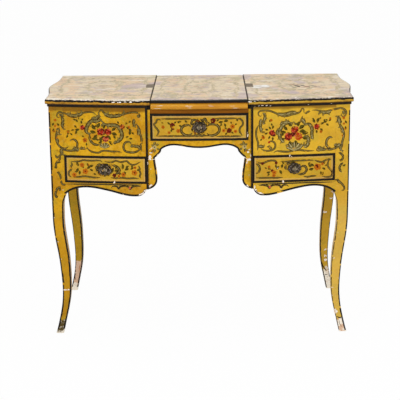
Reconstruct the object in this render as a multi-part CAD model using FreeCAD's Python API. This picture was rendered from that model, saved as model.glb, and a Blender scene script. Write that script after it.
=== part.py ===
import FreeCAD, Part
import math
import os

# A painted dressing table of the poudreuse kind, on four cabriole legs.
# Two hanging pedestals flank a kneehole. Each holds a lidded well over a drawer.
# The centre holds a mirror lid, a pull-out slide and a drawer.
# Millimetres. X runs to the viewer's right, the front looks towards -Y, +Z is up.
# The origin lies on the floor under the middle of the closed table.

os.makedirs("parts", exist_ok=True)

# Top
table_height = 755.0
lid_corner_width = 940.0
lid_side_depth = 482.0
bow_depth = 46.0
side_bulge = 16.0
bulge_share = 0.963
bulge_set_back = 9.3
side_lid_thickness = 15.0
mirror_lid_thickness = 8.0
mirror_lid_set_in = 11.0
lid_gap = 1.5
lid_front_overhang = 8.5
lid_side_overhang = 9.0
lid_back_overhang = 25.6
lid_edge_round = 3.5
mirror_lid_edge_round = 2.0
seat_gap = 0.3

# Case
post_width = 44.0
post_arris_round = 0.6
side_thickness = 14.0
front_thickness = 14.0
back_thickness = 12.0
inner_panel_thickness = 12.0
kneehole_half_width = 157.0
inner_stile_width = 7.0
inner_stile_depth = 22.0
centre_setback = 5.0
moulding_height = 8.0
moulding_projection = 3.0
moulding_round = 2.0
front_panel_height = 158.2
pedestal_reveal = 17.2
well_floor_thickness = 8.0

# Aprons
apron_drop = 22.5
apron_arch = 3.0
kneehole_crest_drop = 14.0
apron_thickness = 14.0
kneehole_apron_thickness = 16.0

# Shares of the apron's span from the kneehole, and of its rise above the lowest point
apron_foot_shares = [(0.0, 0.94), (0.045, 0.25), (0.12, 0.01)]
apron_arch_shares = [
    (0.12, 0.01), (0.17, 0.0), (0.24, 0.08), (0.3, 0.2), (0.38, 0.41),
    (0.54, 0.77), (0.72, 1.0), (0.87, 0.8), (1.0, 0.06),
]
# Shares of half the side's span between the posts, and of the same rise
side_arch_shares = [(0.0, 0.06), (0.14, 0.74), (0.34, 1.0), (0.68, 0.66), (1.0, 0.3)]
# Shares of the kneehole's half width, and of the rise from the ear's foot to the crest
kneehole_crest_shares = [
    (0.0, 0.94), (0.19, 0.954), (0.37, 0.989), (0.535, 1.0), (0.67, 0.961), (0.739, 0.911)
]
kneehole_cusp_shares = [(0.748, 0.868), (0.79, 0.803), (0.873, 0.719)]
kneehole_ear_shares = [
    (0.873, 0.719), (0.866, 0.619), (0.841, 0.427), (0.828, 0.263), (0.841, 0.142), (0.895, 0.057), (1.0, 0.0)
]

# Legs
leg_lead = 0.5
leg_sweep = 20.0
toe_kick = 2.0
front_toe_kick = 8.0
back_toe_tuck = 6.0
leg_arris_round = 3.0
# Shares of height, sweep, toe kick, post width, bow slant and arris rounding, from the post down
leg_section_shares = [
    (1.0, 0.0, 0.0, 1.0, 1.0, 0.2),
    (0.982, 0.0, 0.0, 0.955, 0.98, 0.3),
    (0.96, 0.0, 0.0, 0.862, 0.92, 0.45),
    (0.93, 0.0, 0.0, 0.812, 0.85, 0.6),
    (0.868, 0.0, 0.0, 0.79, 0.65, 0.8),
    (0.8, 0.02, 0.0, 0.78, 0.4, 1.0),
    (0.68, 0.25, 0.0, 0.77, 0.1, 1.0),
    (0.55, 0.64, 0.0, 0.735, 0.0, 1.0),
    (0.418, 0.9, 0.0, 0.675, 0.0, 1.0),
    (0.286, 1.0, 0.0, 0.605, 0.0, 1.0),
    (0.176, 0.79, 0.0, 0.54, 0.0, 1.0),
    (0.088, 0.42, 0.15, 0.51, 0.0, 1.0),
    (0.0, 0.0, 1.0, 0.54, 0.0, 1.0),
]

# Drawers, as the heights of their openings
side_drawer_height = 86.3
centre_drawer_height = 84.6
centre_stile_width = 7.5
centre_stile_depth = 20.0
drawer_gap = 0.8
drawer_front_thickness = 14.0
drawer_side_thickness = 9.0
drawer_back_thickness = 9.0
drawer_bottom_thickness = 5.0
drawer_side_drop = 7.0
drawer_bottom_rise = 6.0
groove_depth = 4.0
drawer_side_play = 0.6
drawer_back_room = 28.0
bead_width = 7.2
bead_projection = 1.2
side_drawer_foot = 1.5
runner_height = 13.0
runner_width = 18.0
guide_height = 32.0
guide_thickness = 3.8

# Pull-out slide
rail_height = 12.6
rail_depth = 16.0
slide_thickness = 10.0
slide_side_set_in = 10.5
slide_play = 0.5
slide_headroom = 10.5
slide_nose_height = 20.0
slide_nose_set_in = 1.5
slide_nose_straight = 3.6
slide_back_room = 6.0
slide_runner_width = 13.5
slide_runner_height = 10.0
ledge_width = 16.0
ledge_post_width = 5.8

# Mirror
mirror_frame_thickness = 7.0
mirror_frame_width = 22.0
mirror_frame_play = 1.5
mirror_frame_front_room = 27.0
mirror_frame_back_room = 20.0
mirror_glass_thickness = 3.2
mirror_rebate = 5.0

# Hinges
knuckle_radius = 2.5
knuckle_clearance = 0.3
pin_radius = 1.1
pin_running_gap = 0.05
leaf_thickness = 1.2
side_hinge_length = 100.0
side_hinge_fixed_leaf = 13.0
side_hinge_moving_leaf = 25.0
mirror_hinge_length = 50.0
mirror_hinge_offset = 95.0
mirror_hinge_fixed_leaf = 9.0
mirror_hinge_moving_leaf = 18.0
mirror_lid_back_overhang = 8.0
knuckles_per_hinge = 5

# Metal plates let into the side lids
lid_plate_width = 25.0
lid_plate_length = 72.0
lid_plate_thickness = 1.5

# Cast pulls
pull_depth = 22.0
pull_plate_half_width = 21.0
pull_plate_half_height = 18.0
pull_plate_thickness = 2.4
pull_plate_lobe = 2.2
pull_plate_lobes = 9
pull_neck_radius = 5.0
pull_knob_half_width = 15.0
pull_knob_half_height = 13.0
pull_knob_thickness = 12.0
pull_knob_lobe = 1.6
pull_knob_lobes = 12
# Shares of the knob's thickness from its root, and of its half width and height there
pull_knob_shares = [(0.0, 0.55), (0.2, 0.86), (0.45, 1.0), (0.72, 0.88), (0.9, 0.6), (1.0, 0.3)]

# One overrun for every cutter
overrun = 5.0

# Places worked out from the sizes above
pull_standout = pull_depth - lid_front_overhang - centre_setback
overall_depth = lid_side_depth + bow_depth + pull_standout
lid_half_width = lid_corner_width / 2
case_half_width = lid_half_width - lid_side_overhang
bow_apex_y = pull_standout - overall_depth / 2
lid_corner_y = bow_apex_y + bow_depth
lid_back_y = lid_corner_y + lid_side_depth
case_back_y = lid_back_y - lid_back_overhang
bow_radius = (lid_half_width ** 2 + bow_depth ** 2) / (2 * bow_depth)
bow_centre_y = bow_apex_y + bow_radius
case_radius = bow_radius - lid_front_overhang
centre_radius = case_radius - centre_setback
case_front_corner_y = bow_centre_y - math.sqrt(case_radius ** 2 - case_half_width ** 2)
side_start_y = case_front_corner_y + post_width
side_end_y = case_back_y - post_width
bulge_middle_y = (side_start_y + side_end_y) / 2 + bulge_set_back
bulge_half_length = bulge_share * (side_end_y - bulge_middle_y)
side_lid_under_z = table_height - side_lid_thickness
case_top_z = side_lid_under_z - seat_gap
mirror_lid_under_z = table_height - mirror_lid_thickness
tongue_top_z = mirror_lid_under_z - seat_gap
slide_top_z = mirror_lid_under_z - slide_headroom
slide_under_z = slide_top_z - slide_thickness
rail_top_z = slide_under_z - seat_gap
centre_drawer_high_z = rail_top_z - rail_height
centre_drawer_low_z = centre_drawer_high_z - centre_drawer_height
kneehole_crest_z = centre_drawer_low_z - kneehole_crest_drop
side_drawer_high_z = case_top_z - front_panel_height
side_drawer_low_z = side_drawer_high_z - side_drawer_height
pedestal_under_z = side_drawer_low_z - pedestal_reveal
apron_crest_z = pedestal_under_z + apron_arch
apron_low_z = pedestal_under_z - apron_drop
leg_height = apron_low_z - leg_lead
well_floor_z = side_drawer_high_z + well_floor_thickness + drawer_gap
mirror_lid_half_width = kneehole_half_width - mirror_lid_set_in
slide_half_width = kneehole_half_width - slide_side_set_in
side_lid_inner_x = mirror_lid_half_width + lid_gap
post_inner_x = case_half_width - post_width
front_span_x = kneehole_half_width + inner_stile_width
inner_panel_x = kneehole_half_width + inner_panel_thickness
back_inner_y = case_back_y - back_thickness
centre_opening_half = kneehole_half_width - centre_stile_width
side_hinge_x = case_half_width + side_bulge + knuckle_radius + knuckle_clearance
mirror_hinge_y = case_back_y + knuckle_radius + knuckle_clearance
leaf_edge_gap = knuckle_radius + knuckle_clearance
recess_round = knuckle_radius + knuckle_clearance


def point(x, y, z):
    return FreeCAD.Vector(x, y, z)


def bow_y(radius, x):
    """Depth of a bowed face of the given radius at x."""
    return bow_centre_y - math.sqrt(radius ** 2 - x ** 2)


def line(a, b):
    return Part.LineSegment(a, b).toShape()


def curve(points):
    """A smooth curve through the points."""
    spline = Part.BSplineCurve()
    spline.interpolate(Points=points)
    return spline.toShape()


def arc(a, b, c):
    return Part.Arc(a, b, c).toShape()


def prism(edges, travel):
    """A closed outline pushed along a vector."""
    return Part.Face(Part.Wire(edges)).extrude(travel)


def outline_prism(corners, travel):
    """A straight-sided outline pushed along a vector."""
    closed = corners + [corners[0]]
    return Part.Face(Part.makePolygon(closed)).extrude(travel)


def block(x0, x1, y0, y1, z0, z1):
    return Part.makeBox(x1 - x0, y1 - y0, z1 - z0, point(x0, y0, z0))


def other_side(shape):
    """The same piece on the other side of the table."""
    return shape.mirror(point(0, 0, 0), point(1, 0, 0))


def save(name, *shapes):
    """Writes one node from one or more solids."""
    solids = []
    for shape in shapes:
        solids += shape.Solids
    whole = solids[0] if len(solids) == 1 else Part.makeCompound(solids)
    whole.exportStep("parts/" + name + ".step")
    for solid in solids:
        if not solid.isValid() or solid.Volume <= 0:
            print("check the solid of", name)


def save_pair(name, shape):
    """Writes a right-hand piece and its mirror image as two nodes."""
    save(name + "_right", shape)
    save(name + "_left", other_side(shape))


def bowed_board(x0, x1, z0, z1, face_radius, thickness):
    """A board of even thickness whose face follows the bow of the front."""
    back_radius = face_radius - thickness
    middle = (x0 + x1) / 2
    face = [point(x, bow_y(face_radius, x), z0) for x in (x0, middle, x1)]
    back = [point(x, bow_y(back_radius, x), z0) for x in (x1, middle, x0)]
    edges = [arc(*face), line(face[2], back[0]), arc(*back), line(back[2], face[0])]
    return prism(edges, point(0, 0, z1 - z0))


def serpentine(x, y0, y1, z):
    """Plan edge of an end: straight, swelling by the bulge in the middle, straight again."""
    start_y = bulge_middle_y - bulge_half_length
    end_y = bulge_middle_y + bulge_half_length
    along = point(0, 1, 0)
    swell = Part.BSplineCurve()
    swell.interpolate(
        Points=[point(x, start_y, z), point(x + side_bulge, bulge_middle_y, z), point(x, end_y, z)],
        Tangents=[along, along, along],
        TangentFlags=[True, True, True],
    )
    edges = [swell.toShape()]
    if y0 < start_y:
        edges.insert(0, line(point(x, y0, z), point(x, start_y, z)))
    if y1 > end_y:
        edges.append(line(point(x, end_y, z), point(x, y1, z)))
    return edges


def end_plan(inner_x, outer_x, face_radius, back_y, z):
    """Plan outline of one end of the table: bowed front, serpentine side, straight back."""
    middle = (inner_x + outer_x) / 2
    front = [point(x, bow_y(face_radius, x), z) for x in (inner_x, middle, outer_x)]
    back_outer = point(outer_x, back_y, z)
    back_inner = point(inner_x, back_y, z)
    side = serpentine(outer_x, front[2].y, back_y, z)
    return [arc(*front)] + side + [line(back_outer, back_inner), line(back_inner, front[0])]


def rounded_quad(corners, radius):
    """A four-cornered wire in plan with its corners rounded."""
    edges = []
    arcs = []
    count = len(corners)
    for index in range(count):
        corner = corners[index]
        before = (corners[index - 1] - corner).normalize()
        after = (corners[(index + 1) % count] - corner).normalize()
        half_angle = before.getAngle(after) / 2
        reach = radius / math.tan(half_angle)
        inward = (before + after).normalize()
        middle = corner + inward * (radius / math.sin(half_angle) - radius)
        arcs.append((corner + before * reach, middle, corner + after * reach))
    for index in range(count):
        first, middle, last = arcs[index]
        edges.append(arc(first, middle, last))
        edges.append(line(last, arcs[(index + 1) % count][0]))
    return Part.Wire(edges)


def leg(outer_y, inner_slant, into_case, kick_y):
    """A right-hand cabriole leg with the post above it that forms the corner of the case.

    outer_y is the outer face in depth, into_case is +1 where the case lies behind that face
    and -1 where it lies in front, and inner_slant is how far the bow carries the inner edge out.
    """
    wires = []
    for height, sweep, toe, width, slant, arris in leg_section_shares:
        across = width * post_width
        outer_x = case_half_width - sweep * leg_sweep + toe * toe_kick
        inner_x = outer_x - across
        face_y = outer_y + into_case * (sweep * leg_sweep - toe * kick_y)
        far_y = face_y + into_case * across
        slanted_y = face_y - into_case * slant * inner_slant
        z = height * leg_height
        corners = [
            point(outer_x, face_y, z), point(inner_x, slanted_y, z),
            point(inner_x, far_y, z), point(outer_x, far_y, z),
        ]
        wires.append(rounded_quad(corners, arris * leg_arris_round))
    shaft = Part.makeLoft(wires, True, False)
    post = Part.Face(wires[0]).extrude(point(0, 0, case_top_z - leg_height))
    return shaft.fuse(post).removeSplitter()


def inner_panel_front_y():
    return bow_y(case_radius - inner_stile_depth, inner_panel_x)


def make_legs():
    slant = case_front_corner_y - bow_y(case_radius, post_inner_x)
    save_pair("leg_front", leg(case_front_corner_y, slant, 1, front_toe_kick))
    save_pair("leg_rear", leg(case_back_y, 0, -1, -back_toe_tuck))


def side_panel():
    """Serpentine side with a scalloped lower edge, let in flush between the posts."""
    y0 = side_start_y
    y1 = side_end_y
    outer_x = case_half_width
    inner_x = case_half_width - side_thickness
    outer = serpentine(outer_x, y0, y1, apron_low_z)
    inner = serpentine(inner_x, y0, y1, apron_low_z)
    ends = [
        line(point(outer_x, y0, apron_low_z), point(inner_x, y0, apron_low_z)),
        line(point(outer_x, y1, apron_low_z), point(inner_x, y1, apron_low_z)),
    ]
    edges = Part.__sortEdges__(outer + inner + ends)
    board = prism(edges, point(0, 0, case_top_z - apron_low_z))
    half = (y1 - y0) / 2
    rise = apron_crest_z - apron_low_z
    front_points = [(y0 + along * half, apron_low_z + up * rise) for along, up in side_arch_shares]
    back_points = [(y0 + y1 - y, z) for y, z in reversed(front_points[:-1])]
    x_in = inner_x - overrun
    wave = [point(x_in, y, z) for y, z in front_points + back_points]
    top_z = case_top_z + overrun
    rim = [
        curve(wave),
        line(wave[-1], point(x_in, y1, top_z)),
        line(point(x_in, y1, top_z), point(x_in, y0, top_z)),
        line(point(x_in, y0, top_z), wave[0]),
    ]
    keep = prism(rim, point(side_thickness + side_bulge + 2 * overrun, 0, 0))
    return board.common(keep)


def side_hinge_seat_in_case():
    """Recess for the fixed leaf and the knuckles of a side hinge in the case."""
    half = side_hinge_length / 2 + knuckle_clearance
    leaf = block(
        side_hinge_x - leaf_edge_gap - side_hinge_fixed_leaf, side_hinge_x + overrun,
        bulge_middle_y - half, bulge_middle_y + half,
        case_top_z - leaf_thickness, case_top_z + overrun,
    )
    return leaf


def knuckle_notch():
    """Notch in the moulding round the knuckles of a side hinge."""
    half = side_hinge_length / 2 + knuckle_clearance
    depth = knuckle_radius + knuckle_clearance
    return block(
        case_half_width - moulding_projection, side_hinge_x + overrun,
        bulge_middle_y - half, bulge_middle_y + half,
        side_lid_under_z - depth, case_top_z + overrun,
    )


def make_case_sides():
    save_pair("side_panel", side_panel().cut(side_hinge_seat_in_case()))
    inner_panel = block(
        kneehole_half_width, inner_panel_x, inner_panel_front_y(), case_back_y, pedestal_under_z, case_top_z
    )
    save_pair("inner_panel", inner_panel)
    stile = bowed_board(
        kneehole_half_width, front_span_x, pedestal_under_z, case_top_z, case_radius, post_width
    )
    stile = stile.common(block(
        kneehole_half_width, front_span_x, bow_apex_y, inner_panel_front_y(), pedestal_under_z, case_top_z
    ))
    save("inner_stiles", stile, other_side(stile))


def make_front_panels():
    """Fixed panels that hide the wells, and the scalloped aprons under the drawers."""
    panel = bowed_board(
        front_span_x, post_inner_x, side_drawer_high_z, case_top_z, case_radius, front_thickness
    )
    save_pair("front_panel", panel)
    span = post_inner_x - front_span_x
    rise = apron_crest_z - apron_low_z
    board = bowed_board(
        front_span_x, post_inner_x, apron_low_z, side_drawer_low_z, case_radius, apron_thickness
    )
    y = bow_apex_y - overrun
    foot = [point(front_span_x + x * span, y, apron_low_z + z * rise) for x, z in apron_foot_shares]
    arch = [point(front_span_x + x * span, y, apron_low_z + z * rise) for x, z in apron_arch_shares]
    top_z = side_drawer_low_z + overrun
    rim = [
        arc(*foot),
        curve(arch),
        line(arch[-1], point(post_inner_x, y, top_z)),
        line(point(post_inner_x, y, top_z), point(front_span_x, y, top_z)),
        line(point(front_span_x, y, top_z), foot[0]),
    ]
    keep = prism(rim, point(0, bow_depth + post_width + overrun, 0))
    save_pair("apron", board.common(keep))


def make_kneehole_front():
    """Stiles, rail and cupid's-bow apron of the set-back centre."""
    rise = kneehole_crest_z - pedestal_under_z
    y = bow_apex_y

    def place(share_x, share_z, hand):
        return point(hand * share_x * kneehole_half_width, y, pedestal_under_z + share_z * rise)

    crest = [place(x, z, 1) for x, z in kneehole_crest_shares]
    crest = [place(x, z, -1) for x, z in reversed(kneehole_crest_shares[1:])] + crest
    edges = [curve(crest)]
    for hand in (1, -1):
        cusp = [place(x, z, hand) for x, z in kneehole_cusp_shares]
        ear = [place(x, z, hand) for x, z in kneehole_ear_shares]
        top = point(hand * kneehole_half_width, y, centre_drawer_low_z)
        crest_end = place(*kneehole_crest_shares[-1], hand)
        edges += [line(crest_end, cusp[0]), arc(*cusp), curve(ear), line(ear[-1], top)]
    edges.append(line(
        point(kneehole_half_width, y, centre_drawer_low_z),
        point(-kneehole_half_width, y, centre_drawer_low_z),
    ))
    keep = prism(Part.__sortEdges__(edges), point(0, bow_depth + post_width, 0))
    board = bowed_board(
        -kneehole_half_width, kneehole_half_width, pedestal_under_z, centre_drawer_low_z,
        centre_radius, kneehole_apron_thickness,
    )
    save("kneehole_apron", board.common(keep))
    stile = bowed_board(
        centre_opening_half, kneehole_half_width, centre_drawer_low_z, case_top_z,
        centre_radius, centre_stile_depth,
    )
    save("centre_stiles", stile, other_side(stile))
    rail = bowed_board(
        -centre_opening_half, centre_opening_half, centre_drawer_high_z, rail_top_z, centre_radius, rail_depth
    )
    save("centre_rail", rail)


def make_backs():
    side_back = block(
        inner_panel_x, post_inner_x, back_inner_y, case_back_y, pedestal_under_z, case_top_z
    )
    save_pair("back_panel", side_back)
    tongue_half = mirror_lid_half_width - lid_gap
    corners = [
        (-kneehole_half_width, centre_drawer_low_z), (kneehole_half_width, centre_drawer_low_z),
        (kneehole_half_width, case_top_z), (tongue_half, case_top_z), (tongue_half, tongue_top_z),
        (-tongue_half, tongue_top_z), (-tongue_half, case_top_z), (-kneehole_half_width, case_top_z),
    ]
    centre_back = outline_prism([point(x, back_inner_y, z) for x, z in corners], point(0, back_thickness, 0))
    for middle_x in (-mirror_hinge_offset, mirror_hinge_offset):
        half = mirror_hinge_length / 2 + knuckle_clearance
        seat = block(
            middle_x - half, middle_x + half,
            mirror_hinge_y - leaf_edge_gap - mirror_hinge_fixed_leaf, case_back_y + overrun,
            tongue_top_z - leaf_thickness, tongue_top_z + overrun,
        )
        centre_back = centre_back.cut(seat)
    save("back_panel_centre", centre_back)


def make_well_floors():
    """Floors of the two lidded wells, notched round the posts."""
    z0 = well_floor_z - well_floor_thickness
    inner_side_x = case_half_width - side_thickness
    edges = end_plan(inner_panel_x, inner_side_x, case_radius - front_thickness, back_inner_y, z0)
    floor = prism(edges, point(0, 0, well_floor_thickness))
    reach_x = case_half_width + overrun
    z_high = well_floor_z + overrun
    floor = floor.cut(block(post_inner_x, reach_x, bow_apex_y - overrun, side_start_y, z0 - overrun, z_high))
    floor = floor.cut(block(post_inner_x, reach_x, side_end_y, case_back_y + overrun, z0 - overrun, z_high))
    save_pair("well_floor", floor)


def make_top_mouldings():
    """Black bead that runs under the overhang of each side lid."""
    z0 = case_top_z - moulding_height
    travel = point(0, 0, moulding_height)
    outer_x = case_half_width + moulding_projection
    outer = end_plan(kneehole_half_width, outer_x, case_radius + moulding_projection, case_back_y, z0)
    inner = end_plan(kneehole_half_width, case_half_width, case_radius, case_back_y, z0)
    bead = prism(outer, travel).cut(prism(inner, travel))
    low_edges = []
    for edge in bead.Edges:
        box = edge.BoundBox
        on_front = box.YMin < case_front_corner_y - moulding_projection / 2 and box.XMax > outer_x - seat_gap
        beyond_side = box.XMin > case_half_width + moulding_projection / 2
        on_side = beyond_side and box.YMax - box.YMin > moulding_height
        if box.ZMax < z0 + seat_gap and (on_front or on_side):
            low_edges.append(edge)
    bead = bead.makeFillet(moulding_round, low_edges)
    save_pair("top_moulding", bead.cut(knuckle_notch()))


def l_runner(x_inner, x_outer, shelf_z, guide_inner_x, guide_top_z, y0, y1, thickness):
    """A drawer runner with its guide, as an L section laid along the depth."""
    low_z = shelf_z - thickness
    corners = [
        (x_inner, low_z), (x_outer, low_z), (x_outer, guide_top_z),
        (guide_inner_x, guide_top_z), (guide_inner_x, shelf_z), (x_inner, shelf_z),
    ]
    return outline_prism([point(x, y0, z) for x, z in corners], point(0, y1 - y0, 0))


def behind_stiles_y():
    return bow_y(centre_radius - centre_stile_depth, kneehole_half_width)


def make_runners():
    shelf_z = side_drawer_low_z + drawer_gap + side_drawer_foot - seat_gap
    behind_front = bow_y(case_radius - apron_thickness, post_inner_x) + seat_gap
    outer = l_runner(
        post_inner_x - runner_width, post_inner_x, shelf_z, post_inner_x - guide_thickness,
        shelf_z + guide_height, behind_front, back_inner_y, runner_height,
    )
    inner = block(
        inner_panel_x, inner_panel_x + runner_width, inner_panel_front_y(), back_inner_y,
        shelf_z - runner_height, shelf_z,
    )
    save_pair_group("drawer_runners", outer, inner)
    centre_shelf_z = centre_drawer_low_z + drawer_gap + side_drawer_foot - seat_gap
    guide_x = centre_opening_half - drawer_gap
    centre = l_runner(
        kneehole_half_width - runner_width - centre_stile_width, kneehole_half_width, centre_shelf_z,
        guide_x, centre_shelf_z + guide_height, behind_stiles_y(), back_inner_y, runner_height,
    )
    save("centre_drawer_runners", centre, other_side(centre))
    slide_lip_x = slide_half_width + slide_play
    slide_runner = l_runner(
        kneehole_half_width - slide_runner_width, kneehole_half_width, slide_under_z - seat_gap, slide_lip_x,
        slide_top_z + slide_play, behind_stiles_y(), back_inner_y, slide_runner_height,
    )
    save("slide_runners", slide_runner, other_side(slide_runner))


def save_pair_group(name, *shapes):
    """Writes a group of right-hand pieces and its mirror image as two nodes."""
    save(name + "_right", *shapes)
    save(name + "_left", *[other_side(shape) for shape in shapes])


def make_lid_ledges():
    """Rebated strips that hold the slide down and carry the mirror lid."""
    low_z = slide_top_z + slide_play
    inner_x = kneehole_half_width - ledge_width
    corners = [
        (inner_x, low_z), (kneehole_half_width, low_z), (kneehole_half_width, case_top_z),
        (inner_x + ledge_post_width, case_top_z), (inner_x + ledge_post_width, tongue_top_z),
        (inner_x, tongue_top_z),
    ]
    y0 = behind_stiles_y()
    ledge = outline_prism([point(x, y0, z) for x, z in corners], point(0, back_inner_y - y0, 0))
    save("lid_ledges", ledge, other_side(ledge))


def side_hinge_recess_in_lid():
    half = side_hinge_length / 2 + knuckle_clearance
    leaf = block(
        side_hinge_x - leaf_edge_gap - side_hinge_moving_leaf, side_hinge_x,
        bulge_middle_y - half, bulge_middle_y + half,
        side_lid_under_z - overrun, side_lid_under_z + leaf_thickness,
    )
    knuckles = block(
        side_hinge_x - recess_round, side_hinge_x + lid_side_overhang + overrun,
        bulge_middle_y - half, bulge_middle_y + half,
        side_lid_under_z - overrun, side_lid_under_z + recess_round,
    )
    return leaf.fuse(knuckles)


def lid_plate():
    """Metal plate let flush into the inner edge of a side lid."""
    return block(
        side_lid_inner_x, side_lid_inner_x + lid_plate_width,
        bulge_middle_y - lid_plate_length / 2, bulge_middle_y + lid_plate_length / 2,
        table_height - lid_plate_thickness, table_height,
    )


def make_side_lids():
    edges = end_plan(side_lid_inner_x, lid_half_width, bow_radius, lid_back_y, side_lid_under_z)
    lid = prism(edges, point(0, 0, side_lid_thickness))
    rim = []
    for edge in lid.Edges:
        box = edge.BoundBox
        flat = box.ZMax - box.ZMin < seat_gap
        inner = box.XMax < side_lid_inner_x + seat_gap
        if flat and not inner:
            rim.append(edge)
    lid = lid.makeFillet(lid_edge_round, rim)
    lid = lid.cut(side_hinge_recess_in_lid()).cut(lid_plate())
    save_pair("lid", lid)
    save_pair("lid_plate", lid_plate())


def make_mirror_lid():
    back_y = mirror_hinge_y + mirror_lid_back_overhang
    half = mirror_lid_half_width
    front = [point(x, bow_y(bow_radius, x), mirror_lid_under_z) for x in (-half, 0, half)]
    back_right = point(half, back_y, mirror_lid_under_z)
    back_left = point(-half, back_y, mirror_lid_under_z)
    edges = [arc(*front), line(front[2], back_right), line(back_right, back_left), line(back_left, front[0])]
    lid = prism(edges, point(0, 0, mirror_lid_thickness))
    front_edges = []
    for edge in lid.Edges:
        box = edge.BoundBox
        flat = box.ZMax - box.ZMin < seat_gap
        if flat and (box.YMax < lid_corner_y or box.YMin > back_y - seat_gap):
            front_edges.append(edge)
    lid = lid.makeFillet(mirror_lid_edge_round, front_edges)
    for middle_x in (-mirror_hinge_offset, mirror_hinge_offset):
        reach = mirror_hinge_length / 2 + knuckle_clearance
        leaf = block(
            middle_x - reach, middle_x + reach,
            mirror_hinge_y - leaf_edge_gap - mirror_hinge_moving_leaf, mirror_hinge_y,
            mirror_lid_under_z - overrun, mirror_lid_under_z + leaf_thickness,
        )
        knuckles = block(
            middle_x - reach, middle_x + reach, mirror_hinge_y - recess_round, mirror_hinge_y + recess_round,
            mirror_lid_under_z - overrun, mirror_lid_under_z + recess_round,
        )
        lid = lid.cut(leaf.fuse(knuckles))
    save("lid_centre", lid)


def make_mirror():
    """Looking glass held against the underside of the centre lid by a rebated frame."""
    half = kneehole_half_width - ledge_width - mirror_frame_play
    y0 = bow_apex_y + mirror_frame_front_room
    y1 = back_inner_y - mirror_frame_back_room + back_thickness
    z0 = mirror_lid_under_z - mirror_frame_thickness
    frame = block(-half, half, y0, y1, z0, mirror_lid_under_z)
    window_half = half - mirror_frame_width
    window_y0 = y0 + mirror_frame_width
    window_y1 = y1 - mirror_frame_width
    window = block(
        -window_half, window_half, window_y0, window_y1, z0 - overrun, mirror_lid_under_z + overrun
    )
    glass = block(
        -window_half - mirror_rebate, window_half + mirror_rebate, window_y0 - mirror_rebate,
        window_y1 + mirror_rebate, mirror_lid_under_z - mirror_glass_thickness, mirror_lid_under_z,
    )
    inner_rim = []
    frame = frame.cut(window).cut(glass)
    for edge in frame.Edges:
        box = edge.BoundBox
        low = box.ZMax < z0 + seat_gap
        if low:
            inner_rim.append(edge)
    frame = frame.makeFillet(mirror_lid_edge_round, inner_rim)
    save("mirror_frame", frame)
    save("mirror_glass", glass)


def hinge_half(length, owned, leaf_width, leaf_z0, bore_radius):
    """One leaf of a butt hinge with its knuckles, lying along Y with the pin's axis at the origin.

    The leaf reaches towards -X. leaf_z0 is its lower face and owned lists its knuckles.
    """
    step = length / knuckles_per_hinge
    plate = block(
        -leaf_edge_gap - leaf_width, -leaf_edge_gap, -length / 2, length / 2,
        leaf_z0, leaf_z0 + leaf_thickness,
    )
    bore = Part.makeCylinder(
        bore_radius, length + 2 * overrun, point(0, -length / 2 - overrun, 0), point(0, 1, 0)
    )
    for index in owned:
        start = -length / 2 + index * step
        if index > 0:
            start += knuckle_clearance / 2
        end = -length / 2 + (index + 1) * step
        if index < knuckles_per_hinge - 1:
            end -= knuckle_clearance / 2
        knuckle = Part.makeCylinder(knuckle_radius, end - start, point(0, start, 0), point(0, 1, 0))
        bridge = block(-leaf_edge_gap - leaf_thickness, 0, start, end, leaf_z0, leaf_z0 + leaf_thickness)
        plate = plate.fuse(knuckle).fuse(bridge)
    return plate.cut(bore).removeSplitter()


def hinge_pin(length):
    return Part.makeCylinder(pin_radius, length, point(0, -length / 2, 0), point(0, 1, 0))


def make_hinges():
    fixed_knuckles = range(0, knuckles_per_hinge, 2)
    moving_knuckles = range(1, knuckles_per_hinge, 2)
    side_place = point(side_hinge_x, bulge_middle_y, side_lid_under_z)
    fixed_z = -seat_gap - leaf_thickness
    fixed = hinge_half(side_hinge_length, fixed_knuckles, side_hinge_fixed_leaf, fixed_z, pin_radius)
    moving = hinge_half(
        side_hinge_length, moving_knuckles, side_hinge_moving_leaf, 0, pin_radius + pin_running_gap
    )
    pin = hinge_pin(side_hinge_length)
    for shape in (fixed, moving, pin):
        shape.translate(side_place)
    save_pair("side_hinge_fixed", fixed)
    save_pair("side_hinge_moving", moving)

    pins = [pin, other_side(pin)]
    fixed_halves = []
    moving_halves = []
    for middle_x in (-mirror_hinge_offset, mirror_hinge_offset):
        place = point(middle_x, mirror_hinge_y, mirror_lid_under_z)
        back_fixed = hinge_half(
            mirror_hinge_length, fixed_knuckles, mirror_hinge_fixed_leaf, fixed_z, pin_radius
        )
        back_moving = hinge_half(
            mirror_hinge_length, moving_knuckles, mirror_hinge_moving_leaf, 0, pin_radius + pin_running_gap
        )
        back_pin = hinge_pin(mirror_hinge_length)
        for shape in (back_fixed, back_moving, back_pin):
            shape.rotate(point(0, 0, 0), point(0, 0, 1), 90)
            shape.translate(place)
        fixed_halves.append(back_fixed)
        moving_halves.append(back_moving)
        pins.append(back_pin)
    save("mirror_hinges_fixed", *fixed_halves)
    save("mirror_hinges_moving", *moving_halves)
    save("hinge_pins", *pins)


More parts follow.
